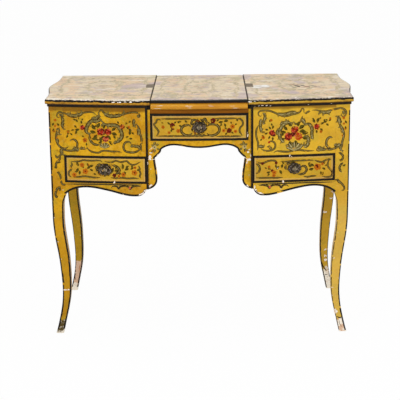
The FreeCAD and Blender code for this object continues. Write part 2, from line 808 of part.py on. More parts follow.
def make_slide():
    """Pull-out slide: a thin board with a bullnose front."""
    back_radius = centre_radius + seat_gap
    nose_front = bow_radius - slide_nose_set_in
    y0 = bow_centre_y - back_radius
    y1 = bow_centre_y - nose_front
    z0 = slide_under_z
    z1 = slide_under_z + slide_nose_height
    middle_z = (z0 + z1) / 2
    shoulder_y = y0 - slide_nose_straight
    rim = [
        line(point(0, y0, z0), point(0, shoulder_y, z0)),
        arc(point(0, shoulder_y, z0), point(0, y1, middle_z), point(0, shoulder_y, z1)),
        line(point(0, shoulder_y, z1), point(0, y0, z1)),
        line(point(0, y0, z1), point(0, y0, z0)),
    ]
    reach = math.degrees(math.asin(slide_half_width / back_radius)) * 2
    profile = Part.Face(Part.Wire(rim))
    profile.rotate(point(0, bow_centre_y, 0), point(0, 0, 1), -reach)
    nose = profile.revolve(point(0, bow_centre_y, 0), point(0, 0, 1), 2 * reach)
    limits = block(
        -slide_half_width, slide_half_width, bow_apex_y - overrun, lid_corner_y, z0 - overrun, z1 + overrun
    )
    save("slide_nose", nose.common(limits))
    front = [point(x, bow_y(back_radius, x), z0) for x in (-slide_half_width, 0, slide_half_width)]
    back_y = back_inner_y - slide_back_room
    back_right = point(slide_half_width, back_y, z0)
    back_left = point(-slide_half_width, back_y, z0)
    edges = [arc(*front), line(front[2], back_right), line(back_right, back_left), line(back_left, front[0])]
    save("slide_board", prism(edges, point(0, 0, slide_thickness)))


def drawer_front(x0, x1, z0, z1, face_radius):
    """A bowed drawer front with a cock bead round its edge."""
    front = bowed_board(x0, x1, z0, z1, face_radius, drawer_front_thickness)
    bead = bowed_board(x0, x1, z0, z1, face_radius + bead_projection, bead_projection)
    field = bowed_board(
        x0 + bead_width, x1 - bead_width, z0 + bead_width, z1 - bead_width,
        face_radius + bead_projection + overrun, bead_projection + overrun,
    )
    return front.fuse(bead.cut(field)).removeSplitter()


def make_drawer(name, x0, x1, z0, z1, side_x0, side_x1, face_radius, mirrored):
    """A drawer: bowed front, grooved sides, back, bottom and cast pull.

    x0 to x1 is the front, side_x0 to side_x1 the box behind it.
    """
    hand = other_side if mirrored else (lambda shape: shape)
    front = drawer_front(x0, x1, z0, z1, face_radius)
    back_radius = face_radius - drawer_front_thickness
    y_back = back_inner_y - drawer_back_room
    low_z = z0 + side_drawer_foot
    high_z = z1 - drawer_side_drop
    behind = bowed_board(
        side_x0 - overrun, side_x1 + overrun, z0 - overrun, z1 + overrun, back_radius, overall_depth
    )
    inner_x0 = side_x0 + drawer_side_thickness
    inner_x1 = side_x1 - drawer_side_thickness
    bottom_z0 = low_z + drawer_bottom_rise
    bottom_z1 = bottom_z0 + drawer_bottom_thickness
    bottom = behind.common(block(
        inner_x0 - groove_depth, inner_x1 + groove_depth, bow_apex_y, y_back, bottom_z0, bottom_z1
    ))
    sides = []
    for edge_x0, edge_x1 in ((side_x0, inner_x0), (inner_x1, side_x1)):
        side = behind.common(block(edge_x0, edge_x1, bow_apex_y, y_back, low_z, high_z))
        sides.append(side.cut(bottom))
    back = block(
        inner_x0, inner_x1, y_back - drawer_back_thickness, y_back, bottom_z1, high_z
    )
    save(name + "_front", hand(front))
    save(name + "_sides", *[hand(side) for side in sides])
    save(name + "_back", hand(back))
    save(name + "_bottom", hand(bottom))
    save(name + "_pull", hand(pull((x0 + x1) / 2, (z0 + z1) / 2, face_radius)))


def lobed_wire(half_width, half_height, lobe, lobes, y, middle_z):
    """A shell-like rim in the plane at y: equal lobes round an oval."""
    edges = []
    for index in range(lobes):
        corners = []
        for step, reach in ((0, 0.0), (1, lobe), (2, 0.0)):
            turn = 2 * math.pi * (index + step / 2) / lobes
            x = (half_width - lobe + reach) * math.sin(turn)
            z = (half_height - lobe + reach) * math.cos(turn)
            corners.append(point(x, y, middle_z + z))
        edges.append(arc(*corners))
    return Part.Wire(edges)


def pull(middle_x, middle_z, face_radius):
    """A cast shell-shaped pull: lobed plate, neck and fluted knob, square to the bowed face."""
    face_y = bow_centre_y - face_radius
    tip_y = face_y - pull_depth
    root_y = tip_y + pull_knob_thickness
    rim = lobed_wire(
        pull_plate_half_width, pull_plate_half_height, pull_plate_lobe, pull_plate_lobes, face_y, middle_z
    )
    plate = Part.Face(rim).extrude(point(0, -pull_plate_thickness, 0))
    neck = Part.makeCylinder(
        pull_neck_radius, face_y - root_y, point(0, face_y, middle_z), point(0, -1, 0)
    )
    wires = []
    for along, share in pull_knob_shares:
        wires.append(lobed_wire(
            share * pull_knob_half_width, share * pull_knob_half_height, share * pull_knob_lobe,
            pull_knob_lobes, root_y - along * pull_knob_thickness, middle_z,
        ))
    knob = Part.makeLoft(wires, True, True)
    whole = plate.fuse(neck).fuse(knob).removeSplitter()
    turned = math.degrees(math.asin(middle_x / face_radius))
    whole.rotate(point(0, bow_centre_y, 0), point(0, 0, 1), turned)
    return whole


def make_drawers():
    side_sizes = dict(
        x0=front_span_x + drawer_gap, x1=post_inner_x - drawer_gap,
        z0=side_drawer_low_z + drawer_gap, z1=side_drawer_high_z - drawer_gap,
        side_x0=inner_panel_x + drawer_side_play, side_x1=post_inner_x - guide_thickness - drawer_side_play,
        face_radius=case_radius,
    )
    make_drawer("drawer_right", mirrored=False, **side_sizes)
    make_drawer("drawer_left", mirrored=True, **side_sizes)
    half = centre_opening_half - drawer_gap
    make_drawer(
        "drawer_centre", -half, half, centre_drawer_low_z + drawer_gap, centre_drawer_high_z - drawer_gap,
        -half + drawer_side_play, half - drawer_side_play, centre_radius, False,
    )


make_legs()
make_case_sides()
make_front_panels()
make_kneehole_front()
make_backs()
make_well_floors()
make_top_mouldings()
make_runners()
make_lid_ledges()
make_side_lids()
make_mirror_lid()
make_mirror()
make_hinges()
make_slide()
make_drawers()
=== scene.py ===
"""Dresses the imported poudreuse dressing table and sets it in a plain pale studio.

Yellow lacquer with black edges, grey scrolls and bunches of roses, faded lids, dark cast pulls.
"""

import math
import random

import bpy
import numpy as np
from bpy.props import FloatProperty, FloatVectorProperty, PointerProperty
from mathutils import Matrix, Vector
from mathutils.bvhtree import BVHTree


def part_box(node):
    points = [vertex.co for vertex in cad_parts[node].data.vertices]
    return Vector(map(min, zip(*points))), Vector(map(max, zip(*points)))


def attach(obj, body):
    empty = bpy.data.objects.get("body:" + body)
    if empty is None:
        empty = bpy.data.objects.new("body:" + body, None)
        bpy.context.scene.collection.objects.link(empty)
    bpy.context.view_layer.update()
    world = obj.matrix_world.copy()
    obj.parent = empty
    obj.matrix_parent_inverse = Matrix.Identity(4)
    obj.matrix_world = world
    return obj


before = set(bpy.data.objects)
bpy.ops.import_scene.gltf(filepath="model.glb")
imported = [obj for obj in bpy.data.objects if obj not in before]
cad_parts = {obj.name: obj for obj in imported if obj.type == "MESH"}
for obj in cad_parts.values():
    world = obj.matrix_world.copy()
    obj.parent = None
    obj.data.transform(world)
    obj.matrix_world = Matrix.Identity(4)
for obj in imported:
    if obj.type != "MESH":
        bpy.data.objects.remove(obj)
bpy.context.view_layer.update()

bl_info = {
    "name": "Poudreuse Dressing Table",
    "version": (1, 0, 0),
    "blender": (4, 5, 0),
    "location": "3D View > Sidebar > Poudreuse",
    "description": "Lacquer, painted ornament, hardware and studio for a poudreuse dressing table",
    "category": "Object",
}

MM = 0.001
WHITE = (1.0, 1.0, 1.0)
# The front edge of the lids: where it stands in the middle, and how fast it bows back towards the sides.
LID_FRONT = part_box("lid_centre")[0].y
LID_BOW = 0.2075
# Heights between which the painted shadow under the top moulding turns black.
UNDER_MOULDING = (0.7295, 0.7325)


def linear(red, green, blue):
    """Linear colour of a tint that is given as it shows on screen, from 0 to 255."""
    channels = [channel / 255 for channel in (red, green, blue)]
    return tuple(c / 12.92 if c <= 0.04045 else ((c + 0.055) / 1.055) ** 2.4 for c in channels)


def tint(name, description, red, green, blue):
    """A colour property with its default given as it shows on screen."""
    return FloatVectorProperty(
        name=name, description=description, subtype="COLOR", min=0.0, max=1.0,
        default=linear(red, green, blue),
    )


def length(name, description, metres):
    """A length property."""
    return FloatProperty(
        name=name, description=description, unit="LENGTH", subtype="DISTANCE", min=0.0, default=metres
    )


def power(name, description, watts):
    """A property for the power of a lamp."""
    return FloatProperty(name=name, description=description, unit="POWER", min=0.0, default=watts)


# Settings


class LacquerSettings(bpy.types.PropertyGroup):
    """Colours of the lacquered case and of what shows where it has gone."""

    bright: tint("Bright lacquer", "Yellow of the best kept panels", 220, 168, 26)
    ochre: tint("Ochre lacquer", "Yellow where the varnish has darkened", 196, 140, 20)
    olive: tint("Olive lacquer", "Greenish yellow of the cooler patches", 184, 152, 36)
    orange: tint("Orange lacquer", "Warm patches where the yellow is thin", 214, 150, 32)
    lemon: tint("Lemon lacquer", "Paler, cooler yellow on the right hand side", 216, 178, 62)
    # Grime is real dirt in most places. It is also laid as painted shade under the lids, on the lower part of
    # the lid edges and over the rear legs.
    grime_and_shade: tint("Grime", "Brown dirt along mouldings and edges", 108, 68, 16)
    # Edge black is also the painted shadow right under the top moulding and at the top of the centre stiles.
    black: tint("Edge black", "Black paint of edges and mouldings", 30, 25, 20)
    gesso: tint("Gesso", "White ground bared by chips", 244, 234, 216)
    bare_wood: tint("Bare wood", "Pinkish wood of the worn feet", 216, 180, 150)
    bead_width: length("Drawer bead width", "Black bead round each drawer front", 0.0068)
    inner_bead: length("Inner bead width", "Black bead beside the kneehole", 0.003)
    arris_line: length("Arris line", "Black line along the inner corners of a leg", 0.0084)
    outer_line: length("Outer arris line", "Thinner, broken line along the outer corners", 0.0104)


class LidSettings(bpy.types.PropertyGroup):
    """Colours of the faded lids."""

    cream: tint("Faded cream", "Ground of the rubbed lids", 230, 212, 180)
    peach: tint("Peach", "Warm clouds in the cream", 234, 196, 152)
    lilac: tint("Lilac", "Cool clouds in the cream", 196, 178, 178)
    moss: tint("Moss", "Greenish remains of paint", 184, 176, 132)
    gold: tint("Edge gold", "Yellow of the moulded edge", 200, 146, 44)


class OrnamentSettings(bpy.types.PropertyGroup):
    """Colours and thickness of the brushwork."""

    outline: tint("Outline", "Dark outline of scrolls and leaves", 54, 32, 4)
    scroll: tint("Scroll grey", "Grey green body of the scrolls", 128, 112, 56)
    light: tint("Scroll light", "Pale lights on the scrolls", 178, 162, 108)
    leaf: tint("Leaf green", "Leaves of the bunches", 84, 74, 10)
    red: tint("Rose red", "Body of the roses", 172, 40, 12)
    dark_red: tint("Rose shade", "Shade of the roses", 96, 24, 8)
    pink: tint("Rose light", "Lights of the roses", 208, 98, 64)
    rust: tint("Rust", "Small warm flowers and stains", 180, 98, 8)
    # Pewter is the colour of the painted highlights on the pulls.
    pewter: tint("Pewter", "Lights on the curls of the pulls", 150, 134, 128)
    # Chalk is also the painted highlight along the top arris of the side lids.
    chalk: tint("Chalk", "White rubs on the lids and their edges", 255, 252, 246)
    coat: length("Coat of paint", "Thickness of one coat", 0.00006)


class WoodSettings(bpy.types.PropertyGroup):
    """Colours of the woods that aren't lacquered."""

    plain: tint("Plain wood", "Old wood inside and at the back", 168, 128, 84)
    plain_dark: tint("Plain wood grain", "Grain of the old wood", 118, 82, 48)
    amber: tint("Amber varnish", "Front of the slide", 214, 154, 36)
    amber_dark: tint("Amber grain", "Grain under the amber varnish", 168, 98, 16)
    # The rail brown is painted shade: the rail sits in the shadow of the slide's nose.
    rail: tint("Rail brown", "Brown rail over the centre drawer", 138, 82, 8)


class MetalSettings(bpy.types.PropertyGroup):
    """Colours of the hardware."""

    patina: tint("Patina", "Dark patina of the pulls", 62, 50, 30)
    rubbed: tint("Rubbed metal", "High points of the pulls", 116, 102, 82)
    hollow: tint("Hollows", "Dirt in the hollows of the pulls", 34, 28, 18)
    gilt: tint("Gilding", "Last of the gilding on the pulls", 150, 116, 44)
    plate: tint("Plate", "Flat plates let into the lids", 106, 88, 60)
    steel: tint("Steel", "Pins and screws", 110, 104, 96)


class StageSettings(bpy.types.PropertyGroup):
    """Studio round the table."""

    floor: tint("Floor", "Pale floor and backdrop", 246, 246, 246)
    sky: FloatProperty(
        name="Sky light", description="Strength of the even light from all round", min=0.0, default=0.56
    )
    key: power("Key light", "Power of the soft lamp on the camera side", 52.0)
    top: power("Top light", "Power of the soft lamp overhead", 16.0)
    lens: FloatProperty(
        name="Lens", description="Focal length of the camera", unit="CAMERA", min=1.0, default=109.12
    )


# Shader maths


class Value:
    """The output of a node, ready to be used in a Python expression."""

    def __init__(self, nodes, socket):
        self.nodes = nodes
        self.socket = socket

    def combine(self, operation, other=None, swapped=False):
        pair = [self] if other is None else [other, self] if swapped else [self, other]
        return self.nodes.node("ShaderNodeMath", {"operation": operation}, dict(enumerate(pair)))

    def __add__(self, other):
        return self.combine("ADD", other)

    __radd__ = __add__

    def __mul__(self, other):
        return self.combine("MULTIPLY", other)

    __rmul__ = __mul__

    def __sub__(self, other):
        return self.combine("SUBTRACT", other)

    def __rsub__(self, other):
        return self.combine("SUBTRACT", other, swapped=True)

    def __truediv__(self, other):
        return self.combine("DIVIDE", other)

    def __abs__(self):
        return self.combine("ABSOLUTE")

    def __neg__(self):
        return self * -1.0

    def at_least(self, other):
        return self.combine("MAXIMUM", other)


class Nodes:
    """The nodes of one material or world."""

    def __init__(self, tree):
        self.tree = tree

    def first(self, kind):
        """The node of a kind that the tree starts out with."""
        return next(node for node in self.tree.nodes if node.type == kind)

    def node(self, kind, settings=None, inputs=None, pick=0):
        """Adds a node, sets it up, feeds it and gives back one of its outputs."""
        node = self.tree.nodes.new(kind)
        for key, setting in (settings or {}).items():
            setattr(node, key, setting)
        for key, fed in (inputs or {}).items():
            self.feed(node.inputs[key], fed)
        return Value(self, node.outputs[pick])

    def feed(self, socket, fed):
        if isinstance(fed, Value):
            self.tree.links.new(fed.socket, socket)
        elif socket.type == "RGBA":
            socket.default_value = (*fed, 1.0)
        else:
            socket.default_value = fed

    def ray(self, kind):
        """1 for rays of one kind, 0 for all others."""
        return self.node("ShaderNodeLightPath", pick=f"Is {kind} Ray")


class Finish(Nodes):
    """A procedural finish, built up from its ground coat outwards."""

    def __init__(self, name, colour, roughness):
        self.material = bpy.data.materials.new(name)
        self.material.use_nodes = True
        super().__init__(self.material.node_tree)
        self.shader = self.first("BSDF_PRINCIPLED")
        self.place = self.node("ShaderNodeTexCoord", pick="Object")
        self.x, self.y, self.z = self.split(self.place)
        self.across, self.along, self.up = self.split(self.node("ShaderNodeTexCoord", pick="Normal"))
        self.colour = colour
        self.roughness = roughness
        self.height = 0.0

    def split(self, vector):
        return [self.node("ShaderNodeSeparateXYZ", None, {0: vector}, axis) for axis in range(3)]

    def stretched(self, stretch):
        """The place on the table, squeezed along each axis so that a pattern runs long or short."""
        if stretch is None:
            return self.place
        return self.node("ShaderNodeVectorMath", {"operation": "MULTIPLY"}, {0: self.place, 1: stretch})

    def cloud(self, scale, detail=2.0, roughness=0.5, stretch=None, distortion=0.0):
        fed = {"Scale": scale, "Detail": detail, "Roughness": roughness, "Distortion": distortion}
        return self.node("ShaderNodeTexNoise", None, {"Vector": self.stretched(stretch), **fed})

    def cells(self, scale, feature):
        fed = {"Vector": self.place, "Scale": scale}
        return self.node("ShaderNodeTexVoronoi", {"feature": feature}, fed, "Distance")

    def step(self, value, low, high):
        """Rises smoothly from 0 at low to 1 at high, or falls where low is the larger."""
        fed = {"Value": value, "From Min": low, "From Max": high}
        return self.node("ShaderNodeMapRange", {"interpolation_type": "SMOOTHSTEP"}, fed)

    def between(self, mask, first, second):
        fed = {0: mask, 6: first, 7: second}
        return self.node("ShaderNodeMix", {"data_type": "RGBA"}, fed, 2)

    def coat(self, mask, colour, roughness=None, height=0.0):
        """Lays one more coat over what is there, where the mask is 1."""
        self.colour = self.between(mask, self.colour, colour)
        if roughness is not None:
            self.roughness = self.roughness + (roughness - self.roughness) * mask
        if height:
            self.height = self.height + mask * height

    def mottle(self, cloud, low, high, share, colour, roughness=None, height=0.0):
        """Lays a coat in patches, up to the share of it where a cloud rises from low to high."""
        self.coat(self.step(self.cloud(*cloud), low, high) * share, colour, roughness, height)

    def done(self, relief=0.0004, metallic=0.0, coat=0.0, gloss=0.08):
        """Feeds the shader and gives back the material. Heights are shares of the relief in metres."""
        self.shader.inputs["Specular IOR Level"].default_value = gloss
        self.feed(self.shader.inputs["Base Color"], self.colour)
        self.feed(self.shader.inputs["Roughness"], self.roughness)
        self.feed(self.shader.inputs["Metallic"], metallic)
        self.shader.inputs["Coat Weight"].default_value = coat
        self.shader.inputs["Coat Roughness"].default_value = 0.22
        if isinstance(self.height, Value):
            fed = {"Strength": 1.0, "Distance": relief, "Height": self.height}
            self.feed(self.shader.inputs["Normal"], self.node("ShaderNodeBump", None, fed))
        return self.material


# Finishes


def lacquer(node):
    """Yellow lacquer: clouded, darkened in places, finely cracked, with small chips down to the ground."""
    tints = bpy.context.scene.poudreuse_lacquer
    finish = Finish("lacquer " + node.replace("_", " "), tints.bright, 0.36)
    broad = finish.cloud(8.0, 3.0, 0.6)
    finish.coat(finish.step(broad, 0.4, 0.62), tints.ochre)
    finish.mottle((26.0, 3.0, 0.6), 0.5, 0.62, 0.75, tints.olive)
    finish.mottle((34.0, 3.0, 0.6), 0.56, 0.68, 0.55, tints.orange)
    finish.mottle((30.0, 4.0, 0.7), 0.58, 0.74, 0.4, tints.grime_and_shade, 0.45)
    fleck = finish.cloud(120.0, 5.0, 0.7)
    finish.coat(finish.step(fleck, 0.5, 0.78) * 0.6, tints.grime_and_shade, 0.5)
    finish.coat(finish.step(fleck, 0.46, 0.2) * 0.16, tints.gesso, 0.42)
    cracks = finish.step(finish.cells(230.0, "DISTANCE_TO_EDGE"), 0.05, 0.0)
    finish.coat(cracks * finish.step(broad, 0.35, 0.6) * 0.4, tints.grime_and_shade, 0.55, -0.5)
    finish.mottle((55.0, 3.0, 0.6), 0.745, 0.76, 1.0, tints.gesso, 0.7, -1.0)
    finish.height = finish.height + fleck * 0.3
    return finish


def darker(colour, share):
    """A share of a colour."""
    return tuple(channel * share for channel in colour)


def blackened_under(finish):
    """Black paint on edges that look down, rubbed here and there."""
    tints = bpy.context.scene.poudreuse_lacquer
    rub = finish.step(finish.cloud(38.0, 3.0), 0.66, 0.7)
    finish.coat(finish.step(finish.up, -0.35, -0.5) * (1 - rub), tints.black, 0.3)


def wood_inside(finish, towards):
    """Unpainted wood on the side of a board that looks into the case."""
    woods = bpy.context.scene.poudreuse_wood
    grain = finish.cloud(60.0, 4.0, 0.6, (1.0, 1.0, 0.07))
    finish.coat(finish.step(towards, 0.3, 0.5), finish.between(grain, woods.plain, woods.plain_dark), 0.75)


def shade_under_lids(finish, low, high, strength):
    """Painted shade under the lids: brown from one height to the next, and nearly black in the corner right
    under them.
    """
    tints = bpy.context.scene.poudreuse_lacquer
    wander = (finish.cloud(16.0, 3.0) - 0.5) * 0.012
    # Painted shade: a brown band that darkens upwards under the lids.
    finish.coat(finish.step(finish.z + wander, low, high) * strength, tints.grime_and_shade, 0.48)
    # Painted shadow: nearly black right under the top moulding.
    finish.coat(finish.step(finish.z, *UNDER_MOULDING) * 0.75, tints.black, 0.48)


def wood(name, stretch, pale, dark, roughness=0.72, coat=0.0):
    """Wood with long grain, pores and a few darker rings."""
    finish = Finish(name, pale, roughness)
    rings = finish.cloud(9.0, 2.0, 0.5, stretch, 1.2) * 14.0 - 7.0
    finish.coat(finish.step(abs(rings - rings.combine("ROUND")), 0.1, 0.5) * 0.35, dark)
    finish.mottle((85.0, 5.0, 0.65, stretch), 0.42, 0.75, 0.75, dark, roughness + 0.05, -0.6)
    finish.mottle((7.0, 3.0), 0.5, 0.75, 0.4, dark)
    return finish.done(0.0003, coat=coat)


def metal(name, ground, high, roughness, metallic=0.85):
    """Cast or rolled metal with uneven patina, brighter where hands rub it."""
    finish = Finish(name, ground, roughness)
    finish.mottle((70.0, 4.0, 0.6), 0.5, 0.72, 1.0, high, roughness - 0.12)
    finish.mottle((420.0, 3.0, 0.7), 0.6, 0.8, 0.4, darker(ground, 0.4), roughness + 0.15, -0.8)
    return finish.done(0.00015, metallic)


def paint(name, colour, ground, wear, roughness, streaks=0.7):
    """One colour of the brushwork: streaky, and rubbed through to its ground in places."""
    finish = Finish(name, colour, roughness)
    streak = finish.cloud(160.0, 3.0, 0.6)
    finish.coat(finish.step(streak, 0.5, 0.66) * streaks, darker(colour, 0.45))
    rubbed = finish.step(finish.cloud(75.0, 4.0, 0.7), 0.75 - wear * 0.25, 0.82 - wear * 0.25)
    finish.coat(rubbed, ground, roughness)
    finish.height = streak
    return finish.done(0.0001)


def give(names, material):
    """Puts one finish on every slot of the named nodes."""
    for name in names:
        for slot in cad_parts[name].material_slots:
            slot.material = material


def add_mesh(name, points, faces):
    """A new object made of the faces, linked to the scene."""
    mesh = bpy.data.meshes.new(name)
    mesh.from_pydata(points, [], faces)
    piece = bpy.data.objects.new(name, mesh)
    bpy.context.scene.collection.objects.link(piece)
    return piece


# Brushwork, with its lengths in millimetres


PALETTE = (
    "outline", "scroll", "light", "pewter", "leaf", "red", "dark_red", "pink", "rust", "black", "gesso",
    "bare_wood", "chalk",
)
# Length of the steps along a stroke, and the depth past which a spot counts as off the surface.
STEP = 2.2
GAP = 25.0
# Distance that strokes are cast from, and the strides in which a missed surface is looked for.
REACH = 1000.0
STRIDE = 20.0
STRIDES = 100
# Each stroke lies a share of a coat above the last one, and the count starts again after some strokes.
LIFT = 0.05
LIFTS = 18


def thinned(points):
    """The points without those that all but touch the one before."""
    kept = [Vector(points[0])]
    for point in map(Vector, points[1:]):
        if (point - kept[-1]).length > 0.5:
            kept.append(point)
    return kept


def smooth_path(points):
    """Points about one step apart on a smooth line through the given ones."""
    points = thinned(points)
    padded = [points[0] * 2 - points[1]] + points + [points[-1] * 2 - points[-2]]
    path = []
    for a, b, c, d in zip(padded, padded[1:], padded[2:], padded[3:]):
        count = max(2, math.ceil((c - b).length / STEP))
        for i in range(count):
            t = i / count
            curve = (2 * a - 5 * b + 4 * c - d) * t**2 + (3 * b - a - 3 * c + d) * t**3
            path.append(0.5 * (2 * b + (c - a) * t + curve))
    return path + [points[-1]]


class Canvas:
    """Brushwork on one side of the table, given in millimetres and laid on the nodes beneath it."""

    def __init__(
        self, name, body, nodes, across=(1, 0, 0), up=(0, 0, 1), look=(0, 1, 0), shift=(0, 0), scale=(1, 1),
        paints="paint",
    ):
        self.name, self.body, self.family = name, body, paints
        self.across, self.rise, self.look = Vector(across), Vector(up), Vector(look)
        self.shift, self.scale = shift, scale
        self.points, self.faces, self.paints = [], [], []
        self.shine = 1.0
        self.strokes = 0
        self.dice = random.Random(name)
        corners, polygons = [], []
        for node in nodes:
            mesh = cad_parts[node].data
            first = len(corners)
            corners += [vertex.co.copy() for vertex in mesh.vertices]
            polygons += [[first + i for i in polygon.vertices] for polygon in mesh.polygons]
        self.ground = BVHTree.FromPolygons(corners, polygons)

    def lay(self, spots, coats):
        """Points of the surface under flat spots, raised by coats of paint.

        A spot that misses the surface goes as deep as the one before it.
        """
        casts = []
        for u, v in spots:
            u, v = self.shift[0] + u * self.scale[0], self.shift[1] + v * self.scale[1]
            start = (self.across * u + self.rise * v - self.look * REACH) * MM
            casts.append((start, *self.ground.ray_cast(start, self.look)))
        depths = sorted(depth for _, hit, _, _, depth in casts if hit is not None)
        middle = depths[len(depths) // 2] if depths else self.nearest_depth(casts[0][0])
        near = [depth for _, hit, _, _, depth in casts if hit is not None and abs(depth - middle) < GAP * MM]
        last = near[0] if near else middle
        self.strokes += 1
        lift = (coats + LIFT * (self.strokes % LIFTS)) * bpy.context.scene.poudreuse_ornament.coat
        laid = []
        for start, hit, normal, _, depth in casts:
            if hit is None or abs(depth - middle) > GAP * MM:
                hit, normal = start + self.look * last, -self.look
            last = (hit - start).length
            outward = normal if normal.dot(self.look) < 0 else -normal
            laid.append(hit + outward * lift)
        return laid

    def nearest_depth(self, start):
        """Depth of the part of the surface that stands closest to a look that misses it."""
        along = [start + self.look * step * STRIDE * MM for step in range(STRIDES)]
        ways = [self.ground.find_nearest(spot)[0] - start for spot in along]
        return min((way.cross(self.look).length, way.dot(self.look)) for way in ways)[1]

    def stroke(self, points, width, colour, coats=1, point=(0.2, 0.2), lobes=0.0, aside=0.0):
        """A brush stroke on a smooth line through the points."""
        self.band(smooth_path(points), width, colour, coats, point, lobes, aside)

    def band(self, path, width, colour, coats=1, point=(0.2, 0.2), lobes=0.0, aside=0.0):
        """Paint that swells from one pointed end to the other, scalloped on its left by the lobes."""
        run = [0.0]
        for a, b in zip(path, path[1:]):
            run.append(run[-1] + (b - a).length)
        total = run[-1]
        spots = []
        for i, spot in enumerate(path):
            heading = (path[min(i + 1, len(path) - 1)] - path[max(i - 1, 0)]).normalized()
            left = Vector((-heading.y, heading.x))
            t = run[i] / total
            body = 1.0
            if point[0]:
                body = min(body, (t / point[0]) ** 0.6)
            if point[1]:
                body = min(body, ((1 - t) / point[1]) ** 0.6)
            half = width / 2 * max(body, 0.06)
            scallop = 1 + lobes * (abs(math.sin(run[i] / max(width, 3.0) * 2.0)) - 0.35)
            middle = spot + left * aside * half
            spots += [middle + left * half * scallop, middle - left * half]
        laid = self.lay(spots, coats)
        self.strip(list(zip(laid[::2], laid[1::2])), colour)

    def strip(self, rows, colour):
        """A band of paint through rows of points."""
        width = len(rows[0])
        first = len(self.points)
        for row in rows:
            self.points += row
        for i in range(len(rows) - 1):
            for j in range(width - 1):
                a = first + i * width + j
                self.faces.append((a, a + 1, a + width + 1, a + width))
                self.paints.append(PALETTE.index(colour))

    def blob(self, u, v, radius, colour, coats=1, ragged=0.12, squeeze=1.0, turn=0.0, sides=14):
        """A dab of paint with an uneven rim."""
        c, s = math.cos(turn), math.sin(turn)
        spots = []
        for i in range(sides):
            angle = 2 * math.pi * i / sides
            reach = radius * (1 + ragged * self.dice.uniform(-1, 1))
            a, b = reach * math.cos(angle), reach * squeeze * math.sin(angle)
            spots.append((u + a * c - b * s, v + a * s + b * c))
        first = len(self.points)
        self.points += self.lay(spots, coats)
        self.faces.append(tuple(range(first, first + sides)))
        self.paints.append(PALETTE.index(colour))

    def scroll(self, width, lobes, *points):
        """A scroll with a dark outline and a grey body lit in dashes, with leafy hooks if it is broad."""
        width *= 1.25 if lobes >= 0.5 else 1.0
        self.stroke(points, width * 0.86 + 2.6, "outline", 1, lobes=lobes * 0.5)
        self.stroke(points, width * (0.46 + 0.14 * self.shine), "scroll", 2, lobes=lobes * 0.5)
        path = smooth_path(points)
        if lobes >= 0.5:
            self.hooks(width, path)
        if width > 4:
            self.dashes(width, path)

    def hooks(self, width, path):
        """Leaf tips that bend off a scroll, long on its left and short on its right."""
        i = 1
        while i < len(path) - 1:
            heading = (path[i + 1] - path[i - 1]).normalized()
            left = Vector((-heading.y, heading.x))
            for way, grown in ((left, self.dice.uniform(0.9, 1.3)), (-left, self.dice.uniform(0.5, 0.8))):
                root = path[i] + way * width * 0.1
                bend = path[i] + (heading * 0.7 + way * 0.45) * width * grown
                tip = path[i] + (heading * 0.6 + way * 1.0) * width * grown
                self.stroke([root, bend, tip], width * 0.5 * grown, "outline", 1, (0.1, 0.6))
                self.stroke([root, bend, tip], width * 0.24 * grown, "scroll", 3, (0.1, 0.5))
            i += max(2, round(width * self.dice.uniform(1.1, 1.9) / STEP))

    def dashes(self, width, path):
        """Broken lights and shades along the body of a scroll."""
        for colour, share, side in (("light", 0.2 * self.shine, 0.7), ("outline", 0.15, -1.0)):
            i = 1
            while i < len(path) - 3:
                count = self.dice.randint(4, 9)
                aside = side * self.dice.uniform(0.5, 1.2)
                self.band(path[i:i + count], width * share, colour, 4, (0.4, 0.4), aside=aside)
                i += count + self.dice.randint(1, 3)

    def line(self, width, *points):
        """A loose, uneven line with an olive fringe round its dark core."""
        self.stroke(points, width * 2.8, "scroll", 1, lobes=0.5)
        self.stroke(points, width * 1.6, "outline", 2, lobes=0.4)

    def leaf(self, u, v, size, turn, colour="leaf"):
        """A pointed leaf with its vein."""
        heading = Vector((math.cos(turn), math.sin(turn)))
        side = Vector((-heading.y, heading.x))
        base = Vector((u, v))
        spine = [base, base + heading * size * 0.6 + side * size * 0.1, base + heading * size * 1.2]
        self.stroke(spine, size * 0.72, "outline", 2, (0.5, 0.5))
        self.stroke(spine, size * 0.42, colour, 3, (0.5, 0.5), aside=0.4)

    def rose(self, u, v, size, body="red", shade="dark_red", bright="pink"):
        """A full rose: ragged outer petals, curled inner ones and a dark heart."""
        start = self.dice.uniform(0, math.pi)
        for i in range(7):
            angle = start + 2 * math.pi * i / 7
            spot = (u + 0.56 * size * math.cos(angle), v + 0.56 * size * math.sin(angle))
            self.blob(*spot, 0.46 * size, (shade, body)[i % 2], 3, 0.35)
        self.blob(u, v, 0.52 * size, body, 4, 0.3)
        for i, reach in enumerate((0.8, 0.56, 0.68, 0.4, 0.28)):
            turn = start + 1.9 * i
            petal = [
                (u + reach * size * math.cos(turn + bend), v + reach * size * math.sin(turn + bend))
                for bend in (0, 0.7, 1.4)
            ]
            self.stroke(petal, size * (0.22, 0.3)[i % 2], (bright, shade)[i % 2], 5 + i)
        self.blob(u, v, 0.13 * size, shade, 10, 0.3)

    def bud(self, u, v, size, colour="rust"):
        """A small open flower of five dabs round an eye."""
        for i in range(5):
            angle = 2 * math.pi * i / 5 + size
            spot = (u + 0.5 * size * math.cos(angle), v + 0.5 * size * math.sin(angle))
            self.blob(*spot, 0.45 * size, colour, 3)
        self.blob(u, v, 0.26 * size, "outline" if colour == "dark_red" else "dark_red", 4)

    def sprig(self, u, v, size, turn, flower="rust"):
        """A stalk with paired leaves and a bud at its tip."""
        heading = Vector((math.cos(turn), math.sin(turn)))
        side = Vector((-heading.y, heading.x))
        base = Vector((u, v))
        tip = base + heading * size
        self.stroke([base, base + heading * size * 0.5 + side * size * 0.1, tip], 1.2, "leaf", 2)
        for share, way in ((0.3, 1), (0.45, -1), (0.7, 1), (0.85, -1)):
            self.leaf(*(base + heading * size * share), size * 0.34, turn + way * 0.9)
        self.bud(*tip, size * 0.2, flower)

